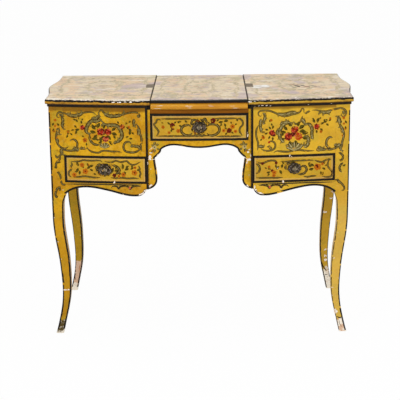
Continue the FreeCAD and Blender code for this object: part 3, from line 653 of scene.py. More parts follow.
    def chip(self, u, v, radius, squeeze=0.6, turn=0.0, colour="gesso"):
        """A chip: bared ground in a few ragged flakes with brown rims."""
        c, s = math.cos(turn), math.sin(turn)
        flakes = []
        for _ in range(6 if radius > 3 else 2):
            along = radius * self.dice.uniform(-0.8, 0.8)
            aside = radius * squeeze * self.dice.uniform(-0.45, 0.45)
            size = radius * self.dice.uniform(0.22, 0.5)
            flakes.append((u + along * c - aside * s, v + along * s + aside * c, size))
        for across, height, size in flakes:
            self.blob(across, height, size * 1.22, "bare_wood", 6, 0.4, squeeze, turn, 9)
        for across, height, size in flakes:
            self.blob(across, height, size, colour, 7, 0.45, squeeze, turn, 9)

    def finish(self):
        """Turns the brushwork into a piece that rides on its body."""
        piece = add_mesh(self.name, self.points, self.faces)
        for colour in PALETTE:
            piece.data.materials.append(bpy.data.materials[f"{self.family} {colour.replace('_', ' ')}"])
        piece.data.polygons.foreach_set("material_index", self.paints)
        piece.data.polygons.foreach_set("use_smooth", [True] * len(self.faces))
        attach(piece, self.body)


def rim_paths(node, facing, wanted):
    """Outlines of the faces of a node that look one way, as runs of points in metres."""
    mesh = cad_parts[node].data
    facing = Vector(facing)
    uses = {}
    for polygon in mesh.polygons:
        if polygon.normal.dot(facing) > 0.8:
            for a, b in polygon.edge_keys:
                uses[(a, b)] = uses.get((a, b), 0) + 1
    links = {}
    for (a, b), count in uses.items():
        middle = (mesh.vertices[a].co + mesh.vertices[b].co) / 2
        if count == 1 and wanted(middle):
            links.setdefault(a, []).append(b)
            links.setdefault(b, []).append(a)
    runs = []
    while links:
        here = next((spot for spot, others in links.items() if len(others) == 1), next(iter(links)))
        run = [here]
        while links.get(here):
            there = links[here].pop()
            links[there].remove(here)
            for spot in (here, there):
                if not links[spot]:
                    links.pop(spot)
            run.append(there)
            here = there
        runs.append([mesh.vertices[i].co.copy() for i in run])
    return runs


# Scrolls are width, lobes and the points of the stroke, in millimetres seen from the front.
LEFT_SCROLLS = (
    (4, 0, (-425, 702), (-430, 698), (-435, 702), (-433, 710), (-426, 715), (-416, 713), (-404, 710),
        (-391, 707), (-377, 708), (-361, 712), (-345, 716), (-330, 717), (-319, 714), (-313, 707)),
    (8, 0.5, (-406, 712), (-394, 706), (-379, 704), (-365, 708), (-352, 714)),
    (4, 0, (-302, 706), (-305, 714), (-301, 721), (-296, 724), (-290, 717), (-282, 711), (-270, 707),
        (-256, 707), (-240, 709), (-225, 713), (-208, 717), (-194, 718), (-184, 715), (-179, 708),
        (-182, 702), (-188, 703)),
    (8, 0.5, (-290, 713), (-277, 707), (-262, 705), (-246, 707), (-230, 711)),
    (6, 0.6, (-417, 712), (-419, 700), (-417, 688), (-419, 676), (-418, 664)),
    (5, 0, (-428, 668), (-435, 658), (-438, 648), (-440, 637), (-439, 626), (-435, 615), (-428, 607),
        (-418, 602), (-408, 604), (-402, 609)),
    (8, 0.6, (-430, 666), (-434, 655), (-431, 643)),
    (5, 0, (-427, 604), (-418, 598), (-405, 596), (-392, 596), (-382, 600), (-376, 608), (-374, 618),
        (-377, 626), (-384, 631), (-392, 630), (-398, 625)),
    (9, 0.6, (-391, 597), (-380, 600), (-369, 597)),
    (5, 0.5, (-368, 602), (-358, 604), (-349, 602)),
    (4, 0, (-346, 611), (-341, 602), (-332, 595), (-320, 592), (-308, 592), (-298, 597), (-285, 598),
        (-268, 596), (-250, 596), (-236, 593)),
    (5, 0, (-208, 617), (-210, 624), (-217, 627), (-226, 624), (-231, 615), (-231, 605), (-225, 597),
        (-213, 594), (-200, 594), (-189, 598), (-181, 605), (-178, 613)),
    (6, 0.6, (-197, 698), (-199, 689), (-198, 680), (-198, 672)),
    (5, 0, (-192, 684), (-186, 675), (-182, 664), (-180, 652), (-177, 641), (-176, 628), (-178, 616),
        (-178, 604), (-175, 597)),
    (7, 0.6, (-187, 669), (-184, 658), (-186, 647)),
    (6, 0.7, (-211, 612), (-199, 614), (-189, 610)),
    (8, 0.5, (-301, 700), (-303, 692), (-314, 690), (-328, 690), (-337, 682), (-343, 671), (-346, 660),
        (-342, 652), (-334, 648)),
    (8, 0.7, (-329, 699), (-319, 697), (-309, 701), (-302, 708)),
    (8, 0.5, (-264, 621), (-256, 623), (-247, 628), (-239, 636), (-235, 645), (-236, 655), (-241, 666),
        (-247, 674), (-256, 678), (-268, 678), (-280, 678), (-290, 682), (-297, 690)),
    (6, 0.4, (-304, 617), (-314, 616), (-325, 620), (-332, 628), (-335, 638), (-335, 648)),
    (7, 0.6, (-424, 602), (-426, 593), (-424, 584)),
    (5, 0, (-428, 706), (-423, 707), (-421, 703)),
    (7, 0, (-187, 711), (-184, 706), (-188, 703)),
    (6, 0.6, (-192, 613), (-186, 611), (-182, 606)),
    (6, 0.6, (-440, 634), (-436, 624), (-437, 616)),
)
RIGHT_SCROLLS = (
    (4, 0, (190, 708), (186, 703), (180, 706), (179, 713), (185, 719), (197, 720), (212, 719), (226, 714),
        (240, 707), (254, 702), (268, 702), (282, 706), (296, 709), (306, 714), (312, 723), (317, 721),
        (318, 712), (322, 706)),
    (8, 0.5, (296, 713), (280, 712), (264, 708), (250, 707), (236, 712)),
    (3, 0.5, (322, 706), (329, 712), (337, 714)),
    (4, 0, (342, 717), (356, 717), (370, 713), (385, 712), (400, 715), (415, 718), (430, 720), (441, 717),
        (448, 709), (447, 699), (440, 694), (433, 698), (435, 705)),
    (8, 0.5, (402, 714), (387, 709), (371, 711)),
    (6, 0.6, (192, 714), (199, 706), (198, 695), (195, 685), (194, 676)),
    (6, 0.6, (188, 696), (185, 684), (185, 672), (187, 662), (186, 652)),
    (4, 0, (180, 676), (174, 664), (172, 650), (174, 636), (178, 622), (178, 608), (176, 597)),
    (6, 0.7, (179, 611), (188, 609), (198, 609)),
    (4, 0, (186, 603), (200, 596), (214, 596), (226, 600), (231, 609), (229, 619), (221, 625), (212, 623),
        (209, 618)),
    (4, 0.4, (226, 589), (236, 594), (252, 592), (270, 591), (290, 594), (306, 595), (325, 592), (352, 591)),
    (5, 0.7, (357, 598), (364, 592), (373, 595)),
    (5, 0.3, (368, 590), (385, 594), (400, 593), (415, 596), (428, 600)),
    (6, 0.2, (408, 629), (400, 632), (392, 627), (388, 617), (389, 607), (395, 600), (404, 598)),
    (5, 0, (442, 579), (438, 586), (434, 594), (437, 604), (438, 616), (441, 627), (443, 638), (441, 648),
        (437, 657), (431, 667), (426, 678), (423, 690), (424, 700)),
    (9, 0.6, (432, 672), (427, 683), (424, 694)),
    (7, 0.6, (436, 643), (438, 653), (433, 663)),
    (7, 0.7, (411, 608), (422, 604), (433, 606)),
    (8, 0.5, (260, 620), (252, 626), (246, 636), (244, 648), (246, 660), (252, 671), (262, 679), (275, 680),
        (284, 674)),
    (7, 0.7, (245, 677), (258, 681), (272, 683)),
    (6, 0.7, (240, 661), (236, 652), (241, 643)),
    (4, 0, (289, 684), (291, 677), (299, 677), (307, 684), (312, 693), (313, 701)),
    (8, 0.7, (308, 691), (316, 685), (321, 676)),
    (7, 0.5, (348, 626), (345, 633), (343, 643), (344, 655), (341, 667), (333, 675), (322, 676)),
    (8, 0.5, (318, 602), (328, 608), (333, 619), (332, 631), (326, 641)),
    (8, 0.8, (262, 613), (274, 606), (290, 603), (306, 605), (318, 610)),
    (5, 0.6, (218, 598), (217, 604), (209, 611)),
    (8, 0.6, (364, 606), (368, 598), (378, 595)),
    (6, 0.6, (425, 612), (431, 600), (434, 590)),
    (6, 0, (436, 712), (441, 706), (438, 700)),
)
LEFT_POST = (
    (3, 0, (-424, 598), (-424, 587), (-430, 579), (-439, 573), (-444, 577), (-441, 582)),
    (3.5, 0.3, (-428, 577), (-431, 568), (-439, 560), (-444, 550), (-441, 538)),
    (3, 0, (-443, 527), (-436, 524), (-431, 514), (-431, 503)),
    (3, 0, (-414, 488), (-424, 488), (-429, 495), (-427, 501)),
    (3.5, 0.4, (-431, 481), (-440, 477), (-446, 468), (-449, 456), (-446, 446), (-441, 452)),
    (3, 0.4, (-438, 480), (-434, 474), (-436, 466)),
)
RIGHT_POST = (
    (3.5, 0.3, (426, 582), (434, 579), (441, 570), (439, 561), (433, 553)),
    (3.5, 0.4, (443, 550), (436, 545), (431, 536), (433, 526), (438, 519)),
    (3, 0, (414, 496), (424, 496), (432, 490), (440, 482), (447, 471), (445, 463), (438, 462)),
    (3, 0.4, (425, 500), (428, 491), (436, 484)),
)
# Drawer lines are width and points, flowers are place, size and colour, and leaves are root, size and turn.
LEFT_DRAWER = (
    (2.2, (-397, 562), (-384, 562), (-370, 563), (-357, 567), (-345, 566), (-330, 566), (-314, 567),
        (-303, 566), (-299, 560)),
    (2.2, (-293, 566), (-284, 563), (-270, 562), (-256, 567), (-243, 563), (-232, 565), (-222, 566),
        (-216, 560), (-206, 555), (-194, 557), (-184, 563), (-178, 566)),
    (2.4, (-397, 562), (-393, 553), (-397, 545), (-396, 537), (-402, 531), (-405, 524), (-402, 516),
        (-396, 513)),
    (2.2, (-390, 512), (-372, 514), (-355, 516), (-341, 515), (-325, 513), (-306, 513)),
    (2.2, (-275, 514), (-258, 512), (-240, 514), (-222, 512), (-203, 513), (-186, 512)),
    (2.2, (-188, 553), (-184, 546), (-184, 536), (-181, 528), (-184, 520), (-180, 513)),
    (3.2, (-300, 556), (-310, 554), (-317, 546), (-316, 538), (-309, 533)),
    (4.2, (-272, 556), (-260, 551), (-250, 545), (-246, 536), (-252, 529), (-262, 523)),
    (2.4, (-302, 548), (-308, 546), (-308, 541)),
)
RIGHT_DRAWER = (
    (2.4, (172, 563), (184, 558), (196, 558), (208, 563), (220, 565), (231, 563), (236, 556), (231, 549)),
    (2.2, (246, 562), (262, 560), (280, 561), (296, 562), (318, 562), (340, 562), (352, 560)),
    (2.4, (352, 562), (364, 557), (376, 555), (387, 560), (397, 563), (405, 562)),
    (3, (170, 557), (179, 552), (184, 542), (181, 531), (172, 524)),
    (2.4, (405, 562), (397, 559), (394, 550), (394, 540), (401, 532), (407, 524), (408, 515), (403, 508),
        (390, 507), (376, 510)),
    (2.2, (360, 512), (345, 512), (330, 510), (318, 513)),
    (2.2, (172, 512), (190, 511), (212, 511), (236, 510), (256, 511)),
    (3.8, (308, 540), (318, 545), (326, 540), (328, 531), (321, 522), (310, 519), (300, 520)),
    (3.4, (278, 557), (266, 552), (262, 543), (266, 534)),
    (2.6, (276, 552), (286, 556), (296, 552)),
)
CENTRE_DRAWER = (
    (2.0, (-118, 697), (-90, 697), (-60, 697), (-30, 697), (-18, 694)),
    (2.4, (-118, 689), (-120, 696), (-128, 694), (-131, 686), (-137, 681), (-134, 673), (-128, 666),
        (-124, 658), (-127, 649), (-132, 644)),
    (2.0, (-132, 644), (-100, 644), (-64, 644), (-28, 644), (10, 645), (46, 643)),
    (2.0, (44, 697), (70, 697), (96, 697), (116, 697)),
    (2.4, (114, 689), (119, 696), (127, 693), (132, 685), (131, 676), (124, 668), (122, 658), (126, 650),
        (131, 643)),
    (2.0, (50, 642), (76, 642), (104, 642), (130, 642)),
    (4.2, (-24, 672), (-32, 678), (-44, 677), (-53, 670), (-55, 660), (-49, 651), (-38, 646), (-27, 648),
        (-21, 655)),
    (4.2, (22, 672), (32, 679), (46, 680), (57, 674), (61, 663), (56, 653), (44, 646), (31, 646), (22, 653)),
    (3.4, (-20, 676), (-24, 684), (-18, 694), (-8, 692), (-4, 698)),
    (3.4, (2, 697), (10, 692), (18, 697), (22, 688), (28, 683), (36, 679)),
    (3.2, (-16, 650), (-8, 644), (0, 648), (8, 644), (16, 650)),
)
LEFT_DRAWER_FLOWERS = (
    (-352, 532, 10, "rust"), (-362, 552, 8, "rust"), (-387, 520, 8, "rust"), (-342, 552, 4, "rust"),
    (-200, 530, 10, "rust"), (-234, 524, 8, "rust"), (-198, 546, 5, "rust"), (-262, 521, 7, "dark_red"),
    (-248, 519, 5, "rust"),
)
LEFT_DRAWER_LEAVES = (
    (-372, 548, 12, 2.0), (-374, 542, 12, 4.2), (-370, 534, 11, 4.6), (-376, 530, 8, 3.0),
    (-356, 542, 10, 2.0), (-346, 540, 11, 0.6), (-340, 546, 12, 0.3), (-342, 548, 9, 1.8),
    (-338, 540, 10, 5.6), (-238, 540, 10, 1.0), (-232, 545, 11, 1.9), (-230, 538, 12, 0.3),
    (-226, 544, 10, 0.7), (-232, 534, 9, 5.2), (-262, 534, 12, 0.2), (-258, 540, 10, 1.2),
    (-212, 540, 10, 0.5), (-206, 544, 9, 1.6), (-192, 536, 8, 0.6), (-318, 524, 8, 3.0), (-242, 530, 8, 4.0),
)
RIGHT_DRAWER_FLOWERS = (
    (228, 527, 8, "rust"), (227, 518, 6, "rust"), (222, 533, 5, "dark_red"), (362, 540, 12, "rust"),
    (359, 543, 6, "dark_red"), (212, 545, 5, "rust"), (377, 549, 5, "rust"), (192, 556, 5, "dark_red"),
    (286, 548, 4, "rust"), (234, 557, 5, "dark_red"),
)
RIGHT_DRAWER_LEAVES = (
    (216, 530, 10, 3.4), (218, 536, 10, 2.4), (214, 524, 8, 3.8), (236, 536, 11, 1.0), (244, 534, 12, 5.2),
    (252, 540, 11, 1.4), (232, 552, 9, 4.8), (350, 536, 13, 3.3), (352, 544, 12, 2.6), (346, 548, 10, 3.6),
    (376, 546, 10, 0.6), (376, 536, 10, 5.8), (372, 526, 10, 4.8), (380, 524, 9, 4.4), (384, 542, 8, 0.2),
    (334, 546, 9, 1.2), (340, 540, 9, 2.0), (258, 552, 10, 1.8), (206, 540, 7, 2.6), (280, 556, 9, 0.4),
)
CENTRE_DRAWER_FLOWERS = (
    (-82, 677, 9, "dark_red"), (-80, 668, 6, "dark_red"), (-110, 672, 6, "rust"), (-64, 660, 7, "rust"),
    (-92, 655, 5, "rust"), (90, 660, 9, "dark_red"), (42, 691, 9, "dark_red"), (101, 672, 8, "rust"),
    (110, 657, 6, "rust"), (74, 660, 6, "rust"),
)
CENTRE_DRAWER_LEAVES = (
    (-88, 680, 9, 2.4), (-76, 682, 8, 0.8), (-66, 684, 11, 0.4), (-62, 678, 9, 5.6), (-58, 686, 8, 2.8),
    (-108, 682, 7, 2.4), (-84, 666, 8, 4.4), (72, 688, 12, 3.3), (74, 688, 12, 0.1), (76, 682, 10, 5.0),
    (68, 682, 8, 4.2), (84, 664, 8, 2.4), (96, 656, 8, 5.6), (84, 654, 8, 4.0), (98, 680, 7, 1.8),
    (108, 676, 7, 0.6), (118, 688, 8, 2.2), (-36, 686, 9, 2.4), (52, 688, 8, 0.6),
)
APRON_SCROLLS = (
    (2.4, (-273, 480), (-268, 486), (-256, 486), (-250, 479), (-244, 486), (-228, 488), (-218, 484),
        (-214, 478), (-208, 485), (-194, 488), (-180, 487)),
    (1.6, (-418, 490), (-380, 490.5), (-330, 491.5), (-280, 491.5), (-230, 491.5), (-176, 491.5)),
)
# The leaves below are root, size and turn too.
KNEEHOLE_LEAVES = (
    (138, 614, 12, 1.9), (134, 611, 12, 0.5), (139, 606, 12, 4.6), (134, 616, 10, 3.0), (142, 602, 10, 5.2),
    (130, 606, 9, 3.8),
)
LEFT_SPRAYS = (
    (-370, 686, 9, 2.2), (-376, 692, 8, 2.8), (-368, 694, 6, 1.2), (-358, 680, 9, 1.7), (-358, 690, 7, 1.0),
    (-366, 664, 12, 3.3), (-374, 668, 9, 2.3), (-376, 660, 11, 4.4), (-382, 662, 9, 3.4), (-396, 658, 9, 3.3),
    (-402, 656, 9, 4.6), (-404, 646, 9, 4.4), (-396, 650, 8, 5.6), (-224, 680, 9, 0.8), (-216, 686, 9, 0.4),
    (-222, 672, 10, 5.7), (-214, 668, 11, 5.2), (-212, 662, 12, 4.7), (-206, 656, 8, 5.5),
    (-224, 640, 8, 0.3), (-214, 636, 9, 0.0), (-346, 622, 8, 4.6), (-352, 640, 7, 2.6), (-244, 682, 8, 2.0),
)
RIGHT_SPRAYS = (
    (222, 662, 10, 1.2), (218, 662, 9, 2.2), (222, 672, 8, 1.9), (210, 660, 9, 2.8), (208, 652, 9, 3.5),
    (214, 642, 9, 4.3), (222, 638, 9, 4.8), (200, 654, 7, 3.0), (198, 640, 8, 2.7), (190, 634, 7, 4.0),
    (236, 654, 9, 0.4), (240, 650, 8, 5.8), (352, 678, 12, 1.9), (360, 678, 13, 1.3), (350, 688, 7, 2.4),
    (366, 688, 7, 0.9), (348, 658, 10, 4.1), (356, 656, 9, 4.9), (368, 660, 10, 5.4), (370, 672, 10, 0.5),
    (378, 678, 10, 0.2), (380, 680, 8, 1.2), (386, 674, 9, 5.6), (394, 682, 8, 0.4), (392, 684, 7, 2.6),
    (216, 684, 7, 2.0),
)
# Buds are place and size.
POST_BUDS = ((-441, 690, 5), (-442, 672, 4), (-446, 655, 3), (-438, 635, 3))
POST_LEAVES = (
    (-446, 682, 9, 4.2), (-436, 680, 9, 5.4), (-447, 664, 9, 4.5), (-438, 555, 9, 0.4), (-440, 540, 9, 2.8),
)
# How much broader the scrolls of posts and drawers are painted than their lists say.
BOLD = 1.5


def paint_bouquet(canvas, roses, leaves, shell):
    """A bunch of roses over a shell, in the middle of a cartouche."""
    for leaf in leaves:
        canvas.leaf(*leaf)
    for rose in roses:
        canvas.rose(*rose)
    u, v, size = shell
    for i in range(9):
        turn = math.pi * (0.02 + 0.12 * i)
        tip = (u + size * math.cos(turn), v + size * 0.7 * math.sin(turn))
        canvas.stroke([(u, v - size * 0.5), tip], size * 0.34, "outline", 3, (0.7, 0.12))
        canvas.stroke([(u, v - size * 0.5), tip], size * 0.16, "scroll" if i % 2 else "light", 4, (0.7, 0.2))


# All that is painted on one front panel. Roses and buds are place and size, then their colours.
FRONTS = {
    "left": {
        "shine": 0.35,
        "scrolls": LEFT_SCROLLS,
        "bunch": (
            (-300, 657, 12, "red", "dark_red"), (-279, 656, 11, "red", "dark_red"),
            (-286, 634, 9.5, "pink", "dark_red"),
        ),
        "leaves": (
            (-316, 664, 16, 2.2), (-310, 668, 15, 1.1), (-316, 655, 15, 2.9), (-312, 648, 14, 3.9),
            (-292, 645, 14, 4.1), (-284, 644, 15, 5.6), (-312, 640, 15, 3.5), (-304, 640, 13, 4.9),
            (-268, 652, 15, 6.0), (-290, 666, 14, 1.5), (-266, 660, 13, 0.6), (-296, 628, 12, 3.6),
            (-276, 628, 13, 5.4), (-290, 646, 11, 1.6), (-320, 672, 9, 0.3), (-262, 646, 10, 5.2),
            (-306, 632, 9, 3.0),
        ),
        "shell": (-290, 613, 16),
        "roses": ((-357, 669, 8, "red", "dark_red"), (-234, 673, 8, "rust", "dark_red")),
        "sprays": LEFT_SPRAYS,
        "buds": ((-350, 630, 8), (-214, 672, 5), (-402, 654, 4)),
    },
    "right": {
        "shine": 1.3,
        "scrolls": RIGHT_SCROLLS,
        "bunch": (
            (290, 659, 12, "red", "dark_red"), (271, 638, 12.5, "red", "dark_red"),
            (302, 637, 12, "rust", "red"), (286, 645, 9, "dark_red", "dark_red"),
        ),
        "leaves": (
            (264, 652, 15, 3.0), (268, 658, 14, 2.2), (304, 660, 17, 0.6), (304, 652, 17, 0.0),
            (313, 644, 16, 0.2), (313, 634, 15, 5.9), (276, 625, 14, 4.5), (291, 626, 14, 5.0),
            (300, 668, 14, 1.3), (260, 634, 12, 3.6), (282, 670, 13, 2.4), (258, 644, 12, 2.9),
        ),
        "shell": (289, 605, 24),
        "roses": (
            (221, 651, 9.5, "red", "dark_red"), (226, 645, 6, "dark_red", "outline", "red"),
            (358, 666, 9.5, "red", "dark_red"),
        ),
        "sprays": RIGHT_SPRAYS,
        "buds": ((194, 637, 6), (212, 622, 4, "red"), (218, 690, 5), (371, 650, 5), (399, 690, 4)),
    },
}


def paint_front_pattern(canvas, front):
    """All the ornament of one front panel."""
    canvas.shine = front["shine"]
    for width, lobes, *points in front["scrolls"]:
        canvas.scroll(width, lobes, *points)
    paint_bouquet(canvas, front["bunch"], front["leaves"], front["shell"])
    for rose in front["roses"]:
        canvas.rose(*rose)
    for leaf in front["sprays"]:
        canvas.leaf(*leaf)
    for bud in front["buds"]:
        canvas.bud(*bud)


# Operators


def inward(finish, name):
    """How far a face of a panel looks into the case, from -1 to 1."""
    if name.startswith("side_panel"):
        return finish.across if name.endswith("left") else -finish.across
    return finish.along


class FinishPanels(bpy.types.Operator):
    """Lacquer the panels, the aprons and the yellow stiles"""

    bl_idname = "poudreuse.finish_panels"
    bl_label = "Lacquer Panels"

    def execute(self, context):
        tints = context.scene.poudreuse_lacquer
        shaded = {
            "front_panel_left": (0.713, 0.722, 0.78), "front_panel_right": (0.719, 0.728, 0.7),
            "side_panel_left": (0.717, 0.726, 0.7), "side_panel_right": (0.717, 0.726, 0.7),
        }
        for name in (*shaded, "apron_left", "apron_right", "kneehole_apron", "centre_stiles"):
            finish = lacquer(name)
            if name.endswith("_right"):
                finish.coat(0.4, tints.lemon)
            if name.endswith("_left"):
                finish.coat(0.07, tints.grime_and_shade)
            if name in shaded:
                shade_under_lids(finish, *shaded[name])
            if name == "centre_stiles":
                # Painted shade: the top of the centre stiles goes black where it lies in the shadow beside
                # the slide and under the lids.
                top = finish.z + (finish.cloud(90.0, 3.0) - 0.5) * 0.01
                finish.coat(finish.step(top, 0.722, 0.727), tints.black, 0.35)
            else:
                blackened_under(finish)
            wood_inside(finish, inward(finish, name))
            give([name], finish.done())
        return {"FINISHED"}


# Tints of the whole leg, and tints that come in below it, between two heights. The brown over the rear legs
# is painted shade, for their place under the case.
LEG_TINTS_AND_SHADE = {
    "leg_front_left": ((0.07, "grime_and_shade"),),
    "leg_front_right": ((0.4, "lemon"),),
    "leg_rear_left": ((0.6, "olive"), (0.24, "grime_and_shade")),
    "leg_rear_right": ((0.5, "lemon"), (0.2, "grime_and_shade")),
}
LEG_FADES = {
    "leg_front_left": ((0.55, "ochre", 0.47, 0.36), (0.2, "grime_and_shade", 0.4, 0.1), (0.3, "grime_and_shade", 0.14, 0.05)),
    "leg_front_right": ((0.3, "lemon", 0.47, 0.36), (0.05, "gesso", 0.47, 0.36)),
}
# Height above which a leg is a post, with plain wood where it looks into the case.
POST_FOOT = 0.5
# Middle of the right foot from side to side; its inner side is worn higher.
RIGHT_FOOT = 0.428


class FinishLegs(bpy.types.Operator):
    """Lacquer the legs and wear their feet down to black paint, ground or wood"""

    bl_idname = "poudreuse.finish_legs"
    bl_label = "Lacquer Legs"

    def execute(self, context):
        tints = context.scene.poudreuse_lacquer
        wear = {
            "leg_front_left": self.wear_front_left, "leg_front_right": self.wear_front_right,
            "leg_rear_left": self.wear_rear_left, "leg_rear_right": self.wear_rear_right,
        }
        for name, wear_foot in wear.items():
            finish = lacquer(name)
            shade_under_lids(finish, 0.717, 0.725, 0.3 if name == "leg_front_right" else 0.7)
            for share, colour in LEG_TINTS_AND_SHADE[name]:
                finish.coat(share, getattr(tints, colour))
            for share, colour, high, low in LEG_FADES.get(name, ()):
                finish.coat(finish.step(finish.z, high, low) * share, getattr(tints, colour))
            wander = (finish.cloud(42.0, 4.0, 0.7) - 0.5) * 0.05
            wear_foot(finish, tints, wander)
            aside = finish.across if name.endswith("left") else -finish.across
            behind = finish.along if "front" in name else -finish.along
            inside = aside.at_least(behind).at_least(finish.up)
            wood_inside(finish, inside * finish.step(finish.z, POST_FOOT, POST_FOOT + 0.01))
            give([name], finish.done())
        return {"FINISHED"}

    def wear_front_left(self, finish, tints, wander):
        """Black paint with pale flecks over a last rim of white ground."""
        level = finish.z + wander
        foot = finish.step(level, 0.042, 0.036)
        finish.coat(finish.step(level, 0.062, 0.036) * 0.75, tints.olive)
        finish.coat(foot * 0.85, tints.black, 0.45)
        finish.mottle((140.0, 3.0, 0.7), 0.5, 0.6, foot * 0.45, tints.gesso, 0.5)
        finish.coat(finish.step(level, 0.009, 0.006) * 0.8, tints.gesso, 0.75, -0.6)

    def wear_front_right(self, finish, tints, wander):
        """Bare wood with remains of the ground, higher on the inner side."""
        foot = finish.step(finish.z + wander, 0.04, 0.036)
        slant = finish.z + (finish.x - RIGHT_FOOT) * 1.6 + wander
        finish.coat(finish.step(slant, 0.055, 0.046), tints.bare_wood, 0.7, -0.6)
        finish.coat(foot, tints.bare_wood, 0.7, -0.6)
        finish.mottle((70.0, 3.0, 0.6, (1.0, 1.0, 0.4)), 0.45, 0.55, foot, tints.gesso)

    def wear_rear_left(self, finish, tints, wander):
        """Bare wood far up, and white ground on the toe."""
        level = finish.z + wander
        finish.coat(finish.step(level, 0.112, 0.106), tints.bare_wood, 0.7, -0.6)
        finish.coat(finish.step(level, 0.03, 0.022), tints.gesso, 0.75, -0.4)

    def wear_rear_right(self, finish, tints, wander):
        """White ground in streaks that close up on the toe."""
        level = finish.z + wander
        streaks = (50.0, 3.0, 0.6, (1.0, 1.0, 0.3))
        finish.mottle(streaks, 0.42, 0.5, finish.step(level, 0.1, 0.05), tints.gesso, 0.7, -0.6)
        finish.coat(finish.step(level, 0.036, 0.03), tints.gesso, 0.7, -0.6)


class FinishTrim(bpy.types.Operator):
    """Black the mouldings and inner stiles"""

    bl_idname = "poudreuse.finish_trim"
    bl_label = "Black Trim"

    def execute(self, context):
        tints = context.scene.poudreuse_lacquer
        finish = Finish("worn black paint", tints.black, 0.32)
        fleck = finish.cloud(95.0, 5.0, 0.7)
        finish.coat(finish.step(fleck, 0.45, 0.85) * 0.3, tints.grime_and_shade, 0.4)
        finish.mottle((34.0, 4.0, 0.7), 0.73, 0.75, 1.0, tints.ochre, 0.45, -1.0)
        finish.mottle((61.0, 4.0, 0.7), 0.735, 0.745, 1.0, tints.gesso, 0.6, -1.0)
        finish.height = finish.height + fleck * 0.3
        give(["top_moulding_left", "top_moulding_right", "inner_stiles"], finish.done(0.0003))
        return {"FINISHED"}


class FinishLids(bpy.types.Operator):
    """Faded, rubbed lids with black arrises and a gold edge"""

    bl_idname = "poudreuse.finish_lids"
    bl_label = "Finish Lids"

    def execute(self, context):
        woods = context.scene.poudreuse_wood
        bareness = {"lid_left": 0.44, "lid_right": 0.56, "lid_centre": 0.6}
        for name, bare in bareness.items():
            finish = self.faded_ground(name, context.scene)
            worn = finish.cloud(70.0, 4.0, 0.7) - 0.5
            self.rub_edges(finish, name, bare, worn, context.scene.poudreuse_lacquer)
            self.trim_edges(finish, name, worn, context.scene)
            grain = finish.cloud(60.0, 4.0, 0.6, (0.07, 1.0, 1.0))
            underside = finish.between(grain, woods.plain, woods.plain_dark)
            finish.coat(finish.step(finish.up, -0.75, -0.9), underside, 0.7)
            give([name], finish.done(0.0003))
        return {"FINISHED"}

    def faded_ground(self, name, scene):
        """Cream clouded with peach, lilac and moss, finely cracked."""
        tints, case = scene.poudreuse_lids, scene.poudreuse_lacquer
        finish = Finish("faded " + name.replace("_", " "), tints.cream, 0.5)
        streak = finish.cloud(38.0, 5.0, 0.65, (0.3, 0.9, 1.0))
        finish.mottle((9.0, 3.0, 0.6, (0.9, 0.6, 1.0), 0.6), 0.46, 0.6, 0.6, tints.peach)
        finish.mottle((13.0, 3.0, 0.6, (0.9, 0.5, 1.0)), 0.5, 0.62, 0.75, tints.lilac)
        finish.coat(finish.step(streak, 0.54, 0.68) * 0.7, tints.lilac)
        finish.mottle((18.0, 4.0, 0.7, (0.8, 0.5, 1.0)), 0.53, 0.65, 0.6, tints.moss)
        finish.mottle((40.0, 4.0, 0.7, (0.8, 0.6, 1.0)), 0.55, 0.66, 0.65, darker(tints.lilac, 0.72))
        finish.coat(finish.step(streak, 0.46, 0.34) * 0.8, case.gesso, 0.6)
        cracks = finish.step(finish.cells(210.0, "DISTANCE_TO_EDGE"), 0.05, 0.0)
        finish.coat(cracks * 0.25, case.grime_and_shade, 0.6, -0.4)
        finish.height = finish.height + streak * 0.4
        return finish

    def behind_front(self, finish):
        """How far a spot lies behind the bowed front edge."""
        return finish.y - LID_FRONT - finish.x * finish.x * LID_BOW

    def rub_edges(self, finish, name, bare, worn, case):
        """White ground bared along the front edge, and dirt along the back one."""
        patches = finish.step(finish.cloud(32.0, 4.0, 0.75, (1.0, 0.3, 1.0)), bare, bare + 0.03)
        front = finish.step(self.behind_front(finish) + worn * 0.06, 0.028, 0.02)
        finish.coat(front * patches, case.gesso, 0.7)
        finish.coat(finish.step(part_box(name)[1].y - finish.y, 0.0042, 0.002) * 0.6, case.grime_and_shade)

    def trim_edges(self, finish, name, worn, scene):
        """Black arrises and joints, over a gold edge on the side lids."""
        tints, case = scene.poudreuse_lids, scene.poudreuse_lacquer
        low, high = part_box(name)
        if name == "lid_centre":
            finish.coat(finish.step(finish.up + worn * 0.4, 0.93, 0.85), case.black, 0.35)
            finish.coat(finish.step(self.behind_front(finish) + worn * 0.03, 0.02, 0.013), case.black, 0.35)
            finish.coat(finish.step(high.x - abs(finish.x), 0.0014, 0.0007) * 0.8, case.black, 0.8)
            return
        level = finish.z + worn * 0.01
        edge = finish.step(finish.up, 0.35, 0.2)
        finish.coat(edge, tints.gold, 0.38)
        if name == "lid_right":
            finish.coat(edge * 0.6, case.lemon)
        finish.coat(edge * 0.22, case.grime_and_shade)
        finish.mottle((30.0, 4.0, 0.7), 0.5, 0.75, edge * 0.7, case.grime_and_shade)
        # Painted shade: the gold edge darkens towards its lower side.
        finish.coat(finish.step(level, 0.7442, 0.7412) * edge * 0.7, case.grime_and_shade)
        front = finish.step(finish.along, -0.3, -0.5)
        arris = finish.step(level, 0.7474, 0.748) * finish.step(level, 0.7546, 0.7536)
        finish.coat(arris * front, case.black, 0.35)
        rounded = finish.step(finish.up, 0.985, 0.95) * finish.step(level, 0.7484, 0.749)
        finish.coat(rounded * (1 - front), case.black, 0.35)
        inner = finish.x - low.x if name == "lid_right" else high.x - finish.x
        finish.coat(finish.step(inner + worn * 0.004, 0.0028, 0.0018) * 0.8, case.black, 0.8)


